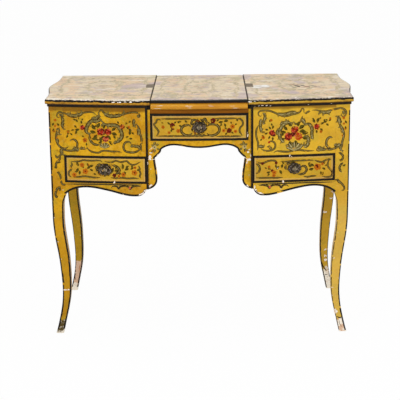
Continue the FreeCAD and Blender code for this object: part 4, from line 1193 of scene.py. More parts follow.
class FinishDrawers(bpy.types.Operator):
    """Lacquer the drawer fronts and blacken their beads"""

    bl_idname = "poudreuse.finish_drawers"
    bl_label = "Lacquer Drawer Fronts"

    def execute(self, context):
        tints = context.scene.poudreuse_lacquer
        for name in ("drawer_left_front", "drawer_right_front", "drawer_centre_front"):
            low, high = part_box(name)
            middle, half = (low + high) / 2, (high - low) / 2
            finish = lacquer(name)
            wander = (finish.cloud(60.0, 3.0) - 0.5) * 0.0014
            bead = tints.bead_width
            left = low.x - finish.x + (tints.inner_bead if "right" in name else bead)
            right = finish.x - high.x + (tints.inner_bead if "left" in name else bead)
            beyond = left.at_least(right).at_least(abs(finish.z - middle.z) - (half.z - bead))
            finish.coat(0.35, tints.lemon)
            finish.coat(0.17, tints.grime_and_shade)
            # Painted highlight: a paler band just inside the bead.
            finish.coat(finish.step(beyond, -0.006, -0.002) * 0.1, tints.gesso)
            rub = finish.step(finish.cloud(48.0, 4.0, 0.7), 0.7, 0.73)
            finish.coat(finish.step(beyond + wander, -0.0002, 0.0004) * (1 - rub), tints.black, 0.3)
            wood_inside(finish, finish.along)
            give([name], finish.done())
        return {"FINISHED"}


class FinishWood(bpy.types.Operator):
    """Slide, rail, drawer boxes, wells, runners, back and the frame of the looking glass"""

    bl_idname = "poudreuse.finish_wood"
    bl_label = "Finish Woodwork"

    def execute(self, context):
        tints = context.scene.poudreuse_wood
        grain = {"x": (0.08, 1.0, 1.0), "y": (1.0, 0.08, 1.0), "z": (1.0, 1.0, 0.08)}
        plain = {
            axis: wood("plain wood along " + axis, stretch, tints.plain, tints.plain_dark)
            for axis, stretch in grain.items()
        }
        dark = darker(tints.plain, 0.5)
        give(["slide_nose"], wood("amber varnish", grain["x"], tints.amber, tints.amber_dark, 0.3, 0.3))
        # Painted shade: the rail is coloured brown for the shadow that the slide's nose casts on it.
        give(["centre_rail"], wood("brown rail", grain["x"], tints.rail, darker(tints.rail, 0.45), 0.45))
        give(["mirror_frame"], wood("frame of the glass", grain["y"], dark, tints.plain_dark, 0.45, 0.2))
        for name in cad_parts:
            if name.endswith(("_sides", "runners_left", "runners_right", "_runners", "ledges")):
                give([name], plain["y"])
            elif name.endswith(("_back", "_bottom")) or name.startswith(("well_floor", "slide_board")):
                give([name], plain["x"])
            elif name.startswith("back_panel"):
                give([name], plain["z"])
        for name in ("inner_panel_left", "inner_panel_right"):
            finish = lacquer(name)
            finish.coat(0.5, context.scene.poudreuse_lacquer.grime_and_shade)
            wood_inside(finish, -finish.across if name.endswith("left") else finish.across)
            give([name], finish.done())
        return {"FINISHED"}


class FinishGlass(bpy.types.Operator):
    """Old silvered looking glass, a little foxed at its edges"""

    bl_idname = "poudreuse.finish_glass"
    bl_label = "Silver Glass"

    def execute(self, context):
        low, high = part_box("mirror_glass")
        middle, half = (low + high) / 2, (high - low) / 2
        finish = Finish("foxed looking glass", (0.66, 0.69, 0.7), 0.03)
        border = 0.03
        beyond_x = abs(finish.x - middle.x) - (half.x - border)
        beyond = beyond_x.at_least(abs(finish.y - middle.y) - (half.y - border))
        spots = finish.cloud(60.0, 5.0, 0.75)
        foxed = finish.step(spots + finish.step(beyond, -0.02, 0.03) * 0.16, 0.66, 0.74)
        finish.coat(foxed, (0.16, 0.13, 0.1), 0.4)
        finish.mottle((12.0, 3.0), 0.5, 0.8, 0.15, (0.5, 0.52, 0.5), 0.09)
        give(["mirror_glass"], finish.done(metallic=1.0 - foxed * 0.8))
        return {"FINISHED"}


class FinishHardware(bpy.types.Operator):
    """Patinate the pulls, hinges and plates, and set the screws"""

    bl_idname = "poudreuse.finish_hardware"
    bl_label = "Finish Hardware"

    def execute(self, context):
        tints = context.scene.poudreuse_metal
        cast = self.cast_brass(tints)
        rolled = metal("aged hinge brass", tints.rubbed, tints.patina, 0.4)
        flat = metal("worn plate", tints.plate, tints.rubbed, 0.5, metallic=0.6)
        dull = metal("dull steel", tints.steel, tints.plate, 0.4)
        give([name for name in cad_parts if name.endswith("_pull")], cast)
        give([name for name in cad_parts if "hinge" in name], rolled)
        give(["lid_plate_left", "lid_plate_right"], flat)
        give(["hinge_pins"], dull)
        for side in ("left", "right"):
            low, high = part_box("lid_plate_" + side)
            middle, size = (low + high) / 2, high - low
            corners = ((-0.26, -0.36), (0.26, -0.36), (-0.26, 0.36), (0.26, 0.36))
            for i, (share_x, share_y) in enumerate(corners):
                spot = Vector((middle.x + share_x * size.x, middle.y + share_y * size.y, high.z))
                name = f"plate_screw_{side}_{i + 1}"
                self.set_screw(name, side + " lid", spot, 2.4 * MM, 0.7 * i + 0.3, dull)
        return {"FINISHED"}

    def cast_brass(self, tints):
        """Dark brass cast with small curls, grey on their backs and gilt in a few hollows."""
        finish = Finish("patinated cast brass", tints.patina, 0.45)
        curls = finish.cells(150.0, "SMOOTH_F1")
        finish.coat(finish.step(curls, 0.52, 0.2), tints.rubbed, 0.34, 1.0)
        finish.coat(finish.step(finish.cells(150.0, "DISTANCE_TO_EDGE"), 0.12, 0.03), tints.hollow, 0.6, -0.6)
        finish.mottle((90.0, 3.0, 0.6), 0.62, 0.68, 0.7, tints.gilt, 0.4)
        return finish.done(0.0012, 0.5, gloss=0.4)

    def set_screw(self, name, body, spot, radius, turn, material):
        """A countersunk head of two halves with its slot between them."""
        points, faces = [], []
        height, slot, steps = 0.12 * MM, math.asin(0.16), 12
        count = steps + 1
        for way in (0.0, math.pi):
            first = len(points)
            angles = [slot + (math.pi - 2 * slot) * i / steps + way + turn for i in range(count)]
            rim = [(math.cos(angle) * radius, math.sin(angle) * radius) for angle in angles]
            for lift, shrink in ((-0.2 * MM, 1.0), (height * 0.5, 1.0), (height, 0.86)):
                points += [spot + Vector((x * shrink, y * shrink, lift)) for x, y in rim]
            for ring in (0, 1):
                for i in range(count):
                    a, b = first + ring * count + i, first + ring * count + (i + 1) % count
                    faces.append((a, b, b + count, a + count))
            faces.append(tuple(range(first + 2 * count, first + 3 * count)))
        piece = add_mesh(name, points, faces)
        piece.data.materials.append(material)
        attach(piece, body)


class MixPaints(bpy.types.Operator):
    """Make the colours of the brushwork"""

    bl_idname = "poudreuse.mix_paints"
    bl_label = "Mix Paints"

    def execute(self, context):
        tints = context.scene.poudreuse_ornament
        case = context.scene.poudreuse_lacquer
        cream = tuple(context.scene.poudreuse_lids.cream)
        for colour in PALETTE:
            own = tuple(getattr(tints if hasattr(tints, colour) else case, colour))
            chalky = colour in ("gesso", "bare_wood", "chalk")
            wear = 0.0 if chalky else 0.35 if colour == "black" else 0.6
            roughness, streaks = (0.7, 0.12) if chalky else (0.38, 0.7)
            name = colour.replace("_", " ")
            paint("paint " + name, own, tuple(case.ochre), wear, roughness, streaks)
            share = {"outline": 0.17, "light": 0.6, "scroll": 0.4}.get(colour, 0.32)
            ghost = own if chalky else tuple(share * a + (1 - share) * b for a, b in zip(own, cream))
            paint("faded " + name, ghost, cream, wear * 1.7, 0.55)
        return {"FINISHED"}


class PaintFronts(bpy.types.Operator):
    """Scrolls, shells and roses on the two front panels and their posts"""

    bl_idname = "poudreuse.paint_fronts"
    bl_label = "Paint Fronts"

    def execute(self, context):
        for side in ("left", "right"):
            nodes = ["front_panel_" + side, "leg_front_" + side, "apron_" + side]
            canvas = Canvas("painted_front_" + side, "case", nodes)
            paint_front_pattern(canvas, FRONTS[side])
            canvas.finish()
            post = Canvas("painted_post_" + side, "case", nodes)
            post.shine = 0.2
            for width, lobes, *points in LEFT_POST if side == "left" else RIGHT_POST:
                post.scroll(width * BOLD, lobes, *points)
            post.scale = (1 if side == "left" else -1, 1)
            for width, *points in APRON_SCROLLS:
                post.line(width, *points)
            for bud in POST_BUDS:
                post.bud(*bud)
            for leaf in POST_LEAVES:
                post.leaf(*leaf)
            post.bud(-215, 482, 4, "pink")
            post.leaf(-230, 487, 8, 0.3)
            post.leaf(-200, 487, 8, 2.8)
            post.finish()
        corner = Canvas("painted_kneehole", "case", ["kneehole_apron"])
        for sign in (-1, 1):
            for u, v, size, turn in KNEEHOLE_LEAVES:
                corner.leaf(sign * u, v, size, turn if sign > 0 else math.pi - turn, "scroll")
            corner.bud(sign * 137, 609, 7, "light")
            corner.bud(sign * 142, 597, 4, "rust")
        corner.finish()
        return {"FINISHED"}


DRAWERS = {
    "left": (LEFT_DRAWER, LEFT_DRAWER_LEAVES, LEFT_DRAWER_FLOWERS),
    "right": (RIGHT_DRAWER, RIGHT_DRAWER_LEAVES, RIGHT_DRAWER_FLOWERS),
    "centre": (CENTRE_DRAWER, CENTRE_DRAWER_LEAVES, CENTRE_DRAWER_FLOWERS),
}
# Curls of a pull's painted highlights, right of its middle, in millimetres.
PULL_CURLS = (
    ((4, -8), (10, -9), (13, -4), (10, -1)), ((8, 8), (13, 6), (15, 1), (12, -2)),
    ((13, -9), (17, -4), (18, 3)),
)
# How far the leaves round a pull reach aside, in millimetres, and their height as a share of that.
PULL_RINGS = {"left": (30, 0.72), "right": (23, 0.82), "centre": (27, 0.86)}


class PaintDrawers(bpy.types.Operator):
    """Thin frames, rings and flowers on the drawer fronts"""

    bl_idname = "poudreuse.paint_drawers"
    bl_label = "Paint Drawer Fronts"

    def execute(self, context):
        for side, (lines, leaves, flowers) in DRAWERS.items():
            canvas = Canvas("painted_drawer_" + side, side + " drawer", [f"drawer_{side}_front"])
            canvas.shine = 0.2
            for width, *points in lines:
                canvas.scroll(width * BOLD, 0.4, *points)
            for leaf in leaves:
                canvas.leaf(*leaf)
            for flower in flowers:
                canvas.bud(*flower)
            self.ring_pull(canvas, side)
            canvas.finish()
        for side in DRAWERS:
            self.highlight_pull(side)
        return {"FINISHED"}

    def ring_pull(self, canvas, side):
        """A ring of painted leaves round a pull."""
        full, flat = PULL_RINGS[side]
        low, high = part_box(f"drawer_{side}_pull")
        middle = (low + high) / 2 / MM
        count = 13
        for i in range(count):
            turn = 2 * math.pi * (i + canvas.dice.uniform(-0.3, 0.3)) / count
            reach = full * canvas.dice.uniform(0.88, 1.06)
            leaf = []
            for share, bend in ((0.55, 0.0), (0.8, 0.15), (0.95, 0.5)):
                across, up = math.cos(turn + bend), flat * math.sin(turn + bend)
                leaf.append((middle.x + share * reach * across, middle.z + share * reach * up))
            colour = ("leaf", "scroll", "leaf", "rust", "scroll")[i % 5]
            canvas.stroke(leaf, canvas.dice.uniform(5.5, 8), "outline", 3, (0.1, 0.6))
            canvas.stroke(leaf, canvas.dice.uniform(1.2, 2.2), colour, 4, (0.1, 0.6))

    def highlight_pull(self, side):
        """Painted highlights on the ribs and curls of the shell of a pull."""
        node = f"drawer_{side}_pull"
        low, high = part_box(node)
        middle = (low + high) / 2 / MM
        canvas = Canvas("rubbed_pull_" + side, side + " drawer", [node], shift=(middle.x, middle.z))
        for i in range(7):
            turn = math.pi * (0.08 + 0.14 * i)
            across, up = math.cos(turn), math.sin(turn)
            reach = canvas.dice.uniform(8, 11)
            rib = [(6 * across, -2 + 2 * up), (reach * 0.7 * across, 3), (reach * across, 10 * up)]
            canvas.stroke(rib, canvas.dice.uniform(0.9, 1.7), ("pewter", "light")[i % 2], 2)
        for sign in (-1, 1):
            for curl in PULL_CURLS:
                canvas.stroke([(sign * u, v) for u, v in curl], canvas.dice.uniform(0.8, 1.6), "pewter", 2)
        canvas.finish()


# Painted highlights on the slide are the start, end and height of a stroke, in millimetres.
SLIDE_HIGHLIGHTS = (
    (-131, -97, 739), (-56, -16, 738), (8, 60, 738.5), (84, 118, 738), (-143, -110, 731), (-40, -20, 732),
    (96, 130, 730),
)


class PaintSlideHighlights(bpy.types.Operator):
    """Painted highlights along the nose of the slide"""

    bl_idname = "poudreuse.rub_slide"
    bl_label = "Rub Slide"

    def execute(self, context):
        canvas = Canvas("rubbed_slide", "slide", ["slide_nose"])
        for start, end, height in SLIDE_HIGHLIGHTS:
            middle = (start + end) / 2
            for _ in range(2):
                left = canvas.dice.uniform(start, middle)
                rise = height + canvas.dice.uniform(-1.6, 1.6)
                right = canvas.dice.uniform(middle, end)
                # Each stroke is a painted highlight, laid in the white of the ground.
                rub = [(left, rise), ((left + right) / 2, rise + 0.4), (right, rise)]
                canvas.stroke(rub, canvas.dice.uniform(0.4, 1.0), "gesso", 2, (0.5, 0.5), 0.5)
        canvas.finish()
        return {"FINISHED"}


QUARTER_SCROLLS = (
    (5, 0.2, (0, 104), (18, 110), (40, 104), (60, 98), (82, 100), (104, 107), (126, 108), (140, 100),
        (143, 88), (135, 80), (126, 85), (128, 93)),
    (8, 0.5, (44, 101), (60, 95), (80, 97)),
    (5, 0.2, (146, 0), (151, 14), (146, 32), (138, 48), (137, 62), (144, 74), (155, 80)),
    (8, 0.6, (141, 20), (146, 35), (140, 50)),
    (6, 0.5, (30, 52), (44, 44), (52, 30), (54, 14), (50, 0)),
    (6, 0.6, (0, 60), (12, 56), (24, 60), (30, 68)),
)


MIDDLE_ROSES = (
    (-10, 8, 11, "red", "dark_red"), (12, 10, 10, "pink", "dark_red"), (2, -10, 10, "red", "dark_red"),
)
MIDDLE_LEAVES = (
    (-20, 14, 15, 2.4), (20, 16, 15, 0.8), (-18, -4, 15, 3.6), (18, -4, 15, 5.8), (0, 20, 14, 1.6),
    (10, -18, 13, 5.2),
)


def paint_panel_pattern(canvas, bold=1.0):
    """A symmetrical frame of scrolls round a bouquet, for the sides and the lids."""
    across, up = canvas.scale
    for way_u, way_v in ((1, 1), (-1, 1), (1, -1), (-1, -1)):
        canvas.scale = (across * way_u, up * way_v)
        for width, lobes, *points in QUARTER_SCROLLS:
            canvas.scroll(width * bold, lobes, *points)
        canvas.sprig(84, 20, 26, 1.0, "red")
        canvas.sprig(92, 66, 16, 2.4)
    canvas.scale = (1, 1)
    paint_bouquet(canvas, MIDDLE_ROSES, MIDDLE_LEAVES, (0, -38, 13))
    canvas.finish()


class PaintSides(bpy.types.Operator):
    """Scroll frame and bouquet on the serpentine sides"""

    bl_idname = "poudreuse.paint_sides"
    bl_label = "Paint Sides"

    def execute(self, context):
        for side, look in (("left", (1, 0, 0)), ("right", (-1, 0, 0))):
            placing = {"across": (0, 1, 0), "look": look, "shift": (20, 604), "scale": (1.0, 0.95)}
            paint_panel_pattern(Canvas("painted_side_" + side, "case", ["side_panel_" + side], **placing))
        return {"FINISHED"}


def section(node, height):
    """Points where a level plane cuts a node, in order round its middle, in metres."""
    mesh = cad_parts[node].data
    spots = np.empty(len(mesh.vertices) * 3)
    mesh.vertices.foreach_get("co", spots)
    ends = np.empty(len(mesh.edges) * 2, int)
    mesh.edges.foreach_get("vertices", ends)
    a, b = spots.reshape(-1, 3)[ends.reshape(-1, 2).T]
    cut = (a[:, 2] - height) * (b[:, 2] - height) < 0
    a, b = a[cut], b[cut]
    ring = a + (b - a) * ((height - a[:, 2]) / (b[:, 2] - a[:, 2]))[:, None]
    middle = ring.mean(0)
    return ring[np.argsort(np.arctan2(ring[:, 1] - middle[1], ring[:, 0] - middle[0]))], middle


def corner_strip(canvas, leg, towards, heights, width, colour, coats):
    """A painted line that wraps round one corner of a leg."""
    towards = np.array((*towards, 0.0))
    thickness = coats * bpy.context.scene.poudreuse_ornament.coat
    reaches = np.array((0.1, 0.3, 0.6, 1.0)) * width / 2
    rows = []
    for height in heights:
        ring, middle = section(leg, height)
        start = int(np.argmax(ring @ towards))
        row = []
        for way in (-1, 1):
            spots = np.array([ring[(start + way * i) % len(ring)] for i in range(len(ring) // 2)])
            run = np.concatenate([[0.0], np.cumsum(np.linalg.norm(np.diff(spots, axis=0), axis=1))])
            side = [[np.interp(reach, run, spots[:, axis]) for axis in range(3)] for reach in reaches]
            row = side[::-1] + row if way < 0 else row + side
        outward = [(np.array(spot) - middle) / np.linalg.norm(np.array(spot) - middle) for spot in row]
        rows.append([Vector(spot) + Vector(way) * thickness for spot, way in zip(row, outward)])
    canvas.strip(rows, colour)


# The lower edges of the aprons, the arch and the sides end at these heights and places, in metres.
APRON_TOP = 0.4815
APRON_ENDS = (0.1645, 0.4165)
ARCH_TOP = 0.6275
ARCH_END = 0.1565
SIDE_TOP = 0.49
# Corner lines start at these heights and stop under the case; the outermost stop below the leg's top.
FEET = {"left": 0.012, "right": 0.003}
UNDER_CASE = 0.4545
UNDER_LIDS = 0.026


# Marks on the worn feet are width, colour and points: millimetres aside from the middle and above the floor.
FOOT_MARKS = {
    "leg_front_right": (
        (3, "black", (-10, 45), (0, 40), (10, 43)), (1.6, "outline", (-3, 34), (-4, 22), (1, 12)),
    ),
    "leg_rear_right": (
        (3.6, "outline", (-9, 104), (-5, 84), (5, 62)), (2.4, "black", (-9, 50), (0, 53), (9, 48)),
    ),
    "leg_rear_left": (
        (3.4, "outline", (-7, 66), (-8, 52), (-3, 38)), (1.8, "rust", (3, 100), (2, 84), (4, 70)),
    ),
}


class LineEdges(bpy.types.Operator):
    """Black lines along the scalloped edges, the posts and the corners of the legs"""

    bl_idname = "poudreuse.line_edges"
    bl_label = "Line Edges"

    def execute(self, context):
        sides = {"left": -1, "right": 1}
        self.line_front()
        for side, sign in sides.items():
            self.line_side(side, sign)
        for depth, way in (("front", -1), ("rear", 1)):
            for side, sign in sides.items():
                self.line_leg(depth, side, (sign, way), context.scene.poudreuse_lacquer)
        return {"FINISHED"}

    def line_front(self):
        """Lines along the two aprons and the arch of the kneehole."""
        canvas = Canvas("edge_lines_front", "case", ["apron_left", "apron_right", "kneehole_apron"])

        def on_apron(spot):
            return spot.z < APRON_TOP and APRON_ENDS[0] < abs(spot.x) < APRON_ENDS[1]

        def on_arch(spot):
            return spot.z < ARCH_TOP and abs(spot.x) < ARCH_END

        for node, wanted, width in (
            ("apron_left", on_apron, 6.2), ("apron_right", on_apron, 6.2), ("kneehole_apron", on_arch, 5.6),
        ):
            for run in rim_paths(node, (0, -1, 0), wanted):
                self.line_inside(canvas, [(spot.x / MM, spot.z / MM) for spot in run], width)
        canvas.finish()

    def line_side(self, side, sign):
        """A line along the lower edge of a side panel."""
        node = "side_panel_" + side
        low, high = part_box(node)

        def on_edge(spot):
            return spot.z < SIDE_TOP and low.y + 2 * MM < spot.y < high.y - 2 * MM

        canvas = Canvas("edge_lines_" + side, "case", [node], across=(0, 1, 0), look=(-sign, 0, 0))
        for run in rim_paths(node, (sign, 0, 0), on_edge):
            self.line_inside(canvas, [(spot.y / MM, spot.z / MM) for spot in run], 5.0)
        canvas.finish()

    def line_leg(self, depth, side, outer, tints):
        """Lines down the four corners of a leg, and the marks on its foot."""
        leg = f"leg_{depth}_{side}"
        canvas = Canvas("corner_lines_" + leg, "case", [leg])
        x, y = outer
        for way in ((x, y), (-x, y), (x, -y), (-x, -y)):
            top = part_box(leg)[1].z - UNDER_LIDS if way == outer else UNDER_CASE
            broken = way[0] == x or leg == "leg_front_right"
            fine = 0.5 if depth == "rear" or (leg == "leg_front_right" and way[0] != x) else 1.0
            slim = 0.75 if side == "right" else 1.0
            height = FEET[side]
            while height < top:
                end = min(top, height + canvas.dice.uniform(0.012, 0.09))
                heights = np.linspace(height, end, max(2, int((end - height) / 0.004)))
                width = tints.arris_line
                if broken:
                    width = tints.outer_line * fine * canvas.dice.uniform(0.7, 1.15)
                corner_strip(canvas, leg, way, heights, width * slim, "black", 2)
                height = end + (canvas.dice.uniform(-0.004, 0.009) if broken else 0.0)
        for width, colour, *points in FOOT_MARKS.get(leg, ()):
            spots = [(section(leg, height * MM)[1][0] / MM + aside, height) for aside, height in points]
            canvas.stroke(spots, width, colour, 4, (0.4, 0.4), 0.5)
        canvas.finish()

    def line_inside(self, canvas, path, width):
        """A line of even width along a rim, on the side where the piece is."""
        path = thinned(path)
        middle = len(path) // 2
        heading = (path[middle] - path[middle - 1]).normalized()
        probe = (path[middle] + path[middle - 1]) / 2 + Vector((-heading.y, heading.x)) * 1.5
        start = (canvas.across * probe.x + canvas.rise * probe.y - canvas.look * REACH) * MM
        inside = 1 if canvas.ground.ray_cast(start, canvas.look)[0] else -1
        canvas.band(path, width, "black", 3, (0, 0), aside=inside)


# Chips are place, radius, squeeze and turn, in millimetres seen from the front.
FRONT_CHIPS = (
    (-237, 461, 4, 0.7, 0.2), (-182, 462, 7, 0.6, 0.5), (-172, 470, 7, 0.6, 1.0), (-150, 577, 8, 0.8, 1.2),
    (-149, 592, 5, 0.6, 0.3), (-127, 585, 4, 0.6, 0.8), (-151, 489, 6, 0.6, 0.6), (-150, 541, 3, 0.7, 0.0),
    (168, 484, 6, 0.5, 1.4), (173, 473, 7, 0.5, 2.2), (185, 464, 8, 0.4, 2.7), (150, 568, 7, 0.8, 0.4),
    (148, 592, 5, 0.7, 0.2), (147, 486, 5, 0.6, 2.2), (149, 520, 2.6, 0.7, 0.0), (411, 455, 5, 0.6, 2.4),
    (-424, 470, 2.4, 0.7, 0.0), (247, 475, 3, 0.6, 0.0), (-158, 560, 4, 0.4, 1.5), (-146, 606, 4, 0.4, 0.8),
    (-140, 572, 5, 0.3, 0.1), (-152, 604, 3, 0.5, 2.0), (152, 600, 4, 0.4, 0.6), (156, 582, 5, 0.4, 1.9),
    (140, 574, 4, 0.4, 2.6), (144, 558, 4, 0.5, 1.2), (-120, 592, 3, 0.6, 1.0), (-300, 583, 3, 0.4, 1.2),
    (-268, 590, 3, 0.5, 1.1), (192, 461, 5, 0.4, 2.9),
)
DRAWER_CHIPS = {
    "left": ((-262, 499.5, 4, 0.8, 1.2), (-262, 504, 2.4, 0.8, 0.3)),
    "right": (
        (256, 498, 5, 0.7, 1.5), (276, 579, 3.4, 0.8, 1.4), (282, 577, 2.4, 0.8, 1.4),
        (240, 541, 3, 0.6, 1.2),
    ),
    "centre": ((147, 644, 5, 0.4, 1.4), (146, 652, 3, 0.4, 1.7)),
}
MOULDING_CHIPS = (
    (182, 735, 3, 0.5, 0.1), (192, 736, 4, 0.4, 3.0), (204, 736, 3.4, 0.4, 0.2), (214, 735, 3, 0.4, 0.1),
    (168, 734, 2.4, 0.5, 1.0), (330, 735, 2.4, 0.5, 0.4), (402, 736, 2, 0.5, 0.2),
)
LEG_CHIPS = {
    "leg_front_left": (
        (137, 0, 9, 0.42), (136, -8, 5, 0.6), (300, -9, 2.6, 0.8), (380, -10, 2.2, 0.8), (240, -9, 2.4, 0.8),
    ),
    "leg_front_right": (
        (324, -10, 2.6, 0.8), (237, -10, 3, 0.8), (169, 9, 2.4, 0.8), (138, -9, 4, 0.5), (112, -9, 3, 0.4),
        (58, -9, 6, 1.2), (66, -9, 4, 1.2),
    ),
    "leg_rear_left": ((66, -6, 4, 0.5), (205, 8, 2.4, 0.8), (20, 2, 6, 0.8)),
    "leg_rear_right": (
        (283, -6, 6, 0.9), (330, 8, 5, 0.7), (148, 5, 4, 1.2), (124, 6, 5, 1.4), (110, 5, 5, 1.3),
        (80, 5, 5, 1.8), (64, 6, 5, 1.8), (48, 4, 5, 1.6), (30, 0, 8, 0.8),
    ),
}


# Stretches of a lid's front edge are start, end, radius of the flakes and height. The broad flakes are rubbed
# chips; the fine white ones along the top arris, at 753 and 754, are a painted highlight.
LID_RUBS_AND_HIGHLIGHTS = {
    "left": (
        (-258, -234, 6, 749), (-222, -197, 6, 750), (-377, -300, 2.6, 754), (-290, -164, 2.4, 754),
        (-452, -400, 2, 754),
    ),
    "right": ((153, 173, 5, 750), (172, 224, 2.6, 753), (240, 350, 1.6, 754), (352, 466, 2.4, 754)),
}


class ChipPaint(bpy.types.Operator):
    """Chips in the paint, down to the white ground, and a painted highlight along the lids' top arris"""

    bl_idname = "poudreuse.chip_paint"
    bl_label = "Chip Paint"

    def execute(self, context):
        aprons = ["apron_left", "apron_right", "kneehole_apron"]
        posts = ["inner_stiles", "leg_front_left", "leg_front_right"]
        self.chip_nodes("chips_front", "case", aprons + posts, FRONT_CHIPS)
        for name, chips in DRAWER_CHIPS.items():
            self.chip_nodes("chips_drawer_" + name, name + " drawer", [f"drawer_{name}_front"], chips)
        self.chip_nodes("chips_moulding", "case", ["top_moulding_right"], MOULDING_CHIPS)
        for leg, chips in LEG_CHIPS.items():
            canvas = Canvas("chips_" + leg, "case", [leg])
            for height, aside, radius, squeeze in chips:
                middle = section(leg, height * MM)[1]
                canvas.chip(middle[0] / MM + aside, height, radius, squeeze)
            canvas.finish()
        for side, rubs_and_highlights in LID_RUBS_AND_HIGHLIGHTS.items():
            canvas = Canvas("chips_lid_" + side, side + " lid", ["lid_" + side])
            for start, end, radius, height in rubs_and_highlights:
                spot = start
                while spot < end:
                    size = radius * canvas.dice.uniform(0.5, 1.2)
                    # Rubbed chips, and along the top arris a painted highlight, all in chalk white.
                    canvas.chip(spot, height + canvas.dice.uniform(-1, 1), size, 0.45, colour="chalk")
                    spot += radius * canvas.dice.uniform(1.0, 3.0)
            canvas.finish()
        return {"FINISHED"}

    def chip_nodes(self, name, body, nodes, chips):
        canvas = Canvas(name, body, nodes)
        for chip in chips:
            canvas.chip(*chip)
        canvas.finish()


# Marks are width, colour and the points of the stroke, in millimetres seen from above.
RIGHT_LID_MARKS = (
    (12, "outline", (304, 22), (314, 0), (320, -22)),
    (9, "outline", (324, 18), (338, 0)),
    (11, "dark_red", (330, -22), (344, -14), (352, -28)),
    (9, "outline", (356, 6), (376, -8)),
    (8, "outline", (294, -30), (310, -40)),
    (7, "outline", (288, 10), (298, -4)),
)


class PaintLids(bpy.types.Operator):
    """Ghosts of scrolls and roses on the faded lids"""

    bl_idname = "poudreuse.paint_lids"
    bl_label = "Paint Lids"

    def execute(self, context):
        above = {"up": (0, 1, 0), "look": (0, 0, -1)}
        for name, body, node, shift, scale in (
            ("painted_lid_left", "left lid", "lid_left", (-308, 28), (0.92, 1.7)),
            ("painted_lid_right", "right lid", "lid_right", (308, 28), (0.92, 1.7)),
            ("painted_lid_centre", "mirror lid", "lid_centre", (0, 0), (0.82, 1.8)),
        ):
            canvas = Canvas(name, body, [node], shift=shift, scale=scale, paints="faded", **above)
            paint_panel_pattern(canvas, 2.0)
        worn = Canvas("rubbed_lid_right", "right lid", ["lid_right"], **above)
        for width, colour, *points in RIGHT_LID_MARKS:
            worn.stroke(points, width, colour, 5, (0.5, 0.5), 0.6)
        for i in range(22):
            u, v = worn.dice.uniform(162, 210), worn.dice.uniform(-34, 22)
            rub = [(u, v), (u + 12, v + worn.dice.uniform(-6, 6)), (u + worn.dice.uniform(20, 36), v)]
            worn.stroke(rub, worn.dice.uniform(6, 13), "chalk", 6 + 0.25 * i, (0.5, 0.5), 0.6)
        worn.finish()
        return {"FINISHED"}


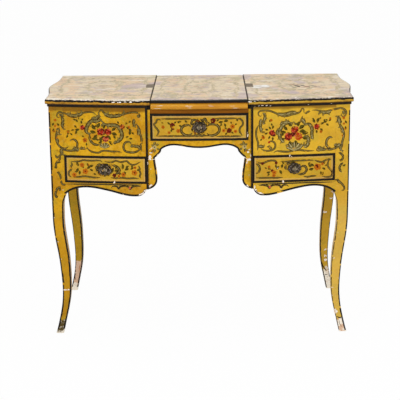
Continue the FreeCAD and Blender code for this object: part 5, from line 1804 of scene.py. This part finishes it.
class SetStage(bpy.types.Operator):
    """Floor, backdrop, soft lamps and the camera"""

    bl_idname = "poudreuse.set_stage"
    bl_label = "Set Stage"

    def execute(self, context):
        scene = context.scene
        tints = scene.poudreuse_stage
        scene.view_settings.view_transform = "Standard"
        self.lay_floor(tints)
        self.light_sky(tints)
        self.hang_lamp("key lamp", (-1.4, -3.4, 2.6), 2.4, tints.key)
        self.hang_lamp("fill lamp", (2.2, -3.0, 1.6), 2.4, tints.key * 0.5)
        self.hang_lamp("top lamp", (0.2, -0.2, 3.2), 2.2, tints.top)
        self.place_camera(scene, tints)
        return {"FINISHED"}

    def lay_floor(self, tints):
        """A floor that turns up into a backdrop far behind the table, shown as white but for the shadow."""
        reach, back, rise, turn, steps = 12.0, 9.0, 8.0, 2.5, 12
        profile = [(-reach, 0.0), (back - turn, 0.0)]
        for i in range(1, steps + 1):
            angle = math.pi / 2 * i / steps
            profile.append((back - turn + turn * math.sin(angle), turn - turn * math.cos(angle)))
        profile.append((back, rise))
        points = [(x, y, z) for y, z in profile for x in (-reach, reach)]
        faces = [(2 * i, 2 * i + 1, 2 * i + 3, 2 * i + 2) for i in range(len(profile) - 1)]
        floor = add_mesh("floor", points, faces)
        floor.data.polygons.foreach_set("use_smooth", [True] * len(faces))
        finish = Finish("pale floor", tints.floor, 0.9)
        finish.coat(finish.cloud(3.0, 2.0) * 0.04, (0.8, 0.8, 0.8))
        floor.data.materials.append(finish.done(gloss=0.0))
        seen = finish.ray("Camera").at_least(finish.ray("Glossy")).at_least(finish.ray("Transmission"))
        glow = finish.node("ShaderNodeEmission", None, {"Color": WHITE, "Strength": 1.0})
        plain = Value(finish, finish.shader.outputs[0])
        shown = finish.node("ShaderNodeMixShader", None, {0: seen * 0.97, 1: plain, 2: glow})
        finish.feed(finish.first("OUTPUT_MATERIAL").inputs["Surface"], shown)

    def light_sky(self, tints):
        """Even light from all round, which the camera and reflections see as white."""
        world = bpy.data.worlds.new("studio")
        bpy.context.scene.world = world
        world.use_nodes = True
        nodes = Nodes(world.node_tree)
        ground = nodes.first("BACKGROUND")
        nodes.feed(ground.inputs["Color"], WHITE)
        nodes.feed(ground.inputs["Strength"], tints.sky)
        white = nodes.node("ShaderNodeBackground", None, {"Color": WHITE})
        seen = nodes.ray("Camera").at_least(nodes.ray("Glossy"))
        plain = Value(nodes, ground.outputs[0])
        shown = nodes.node("ShaderNodeMixShader", None, {0: seen, 1: plain, 2: white})
        nodes.feed(nodes.first("OUTPUT_WORLD").inputs["Surface"], shown)

    def hang_lamp(self, name, place, size, watts):
        """A round soft lamp that looks at the middle of the table."""
        data = bpy.data.lights.new(name, "AREA")
        data.shape = "DISK"
        data.size = size
        data.energy = watts
        lamp = bpy.data.objects.new(name, data)
        aim = Vector((0.0, 0.0, 0.5)) - Vector(place)
        lamp.matrix_world = Matrix.Translation(place) @ aim.to_track_quat("-Z", "Y").to_matrix().to_4x4()
        bpy.context.scene.collection.objects.link(lamp)

    def place_camera(self, scene, tints):
        """The photograph's view: a little above the lids, from nearly straight in front."""
        place = Vector((0.0277, -3.8599, 1.3719))
        down, left, tilt = 0.2515, -0.0072, -0.0094
        level = Matrix(((1, 0, 0), (0, 0, -1), (0, 1, 0)))
        turned, lowered = Matrix.Rotation(-left, 3, "Y"), Matrix.Rotation(down, 3, "X")
        axes = Matrix.Rotation(tilt, 3, "Z") @ lowered @ turned @ level
        rows = (axes[0], -axes[1], -axes[2])
        data = bpy.data.cameras.new("camera")
        data.sensor_fit = "HORIZONTAL"
        data.sensor_width = 36.0
        data.lens = tints.lens
        data.clip_end = 50.0
        data.shift_x = -0.0013
        camera = bpy.data.objects.new("camera", data)
        camera.matrix_world = Matrix.Translation(place) @ Matrix(rows).transposed().to_4x4()
        scene.collection.objects.link(camera)
        scene.camera = camera


class TablePanel(bpy.types.Panel):
    """Steps that dress the table"""

    bl_idname = "VIEW3D_PT_poudreuse"
    bl_label = "Poudreuse"
    bl_space_type = "VIEW_3D"
    bl_region_type = "UI"
    bl_category = "Poudreuse"

    def draw(self, context):
        for operator in OPERATORS:
            self.layout.operator(operator.bl_idname)


SETTINGS = {
    "poudreuse_lacquer": LacquerSettings,
    "poudreuse_lids": LidSettings,
    "poudreuse_ornament": OrnamentSettings,
    "poudreuse_wood": WoodSettings,
    "poudreuse_metal": MetalSettings,
    "poudreuse_stage": StageSettings,
}
OPERATORS = (
    SetStage, FinishPanels, FinishLegs, FinishTrim, FinishLids, FinishDrawers, FinishWood, FinishGlass,
    FinishHardware, MixPaints, PaintFronts, PaintDrawers, PaintSlideHighlights, PaintSides, PaintLids, LineEdges,
    ChipPaint,
)


def register():
    for name, group in SETTINGS.items():
        bpy.utils.register_class(group)
        setattr(bpy.types.Scene, name, PointerProperty(type=group))
    for operator in OPERATORS:
        bpy.utils.register_class(operator)
    bpy.utils.register_class(TablePanel)


def unregister():
    bpy.utils.unregister_class(TablePanel)
    for operator in reversed(OPERATORS):
        bpy.utils.unregister_class(operator)
    for name, group in reversed(SETTINGS.items()):
        delattr(bpy.types.Scene, name)
        bpy.utils.unregister_class(group)


def main():
    register()
    for operator in OPERATORS:
        family, step = operator.bl_idname.split(".")
        getattr(getattr(bpy.ops, family), step)()


if __name__ == "__main__":
    main()
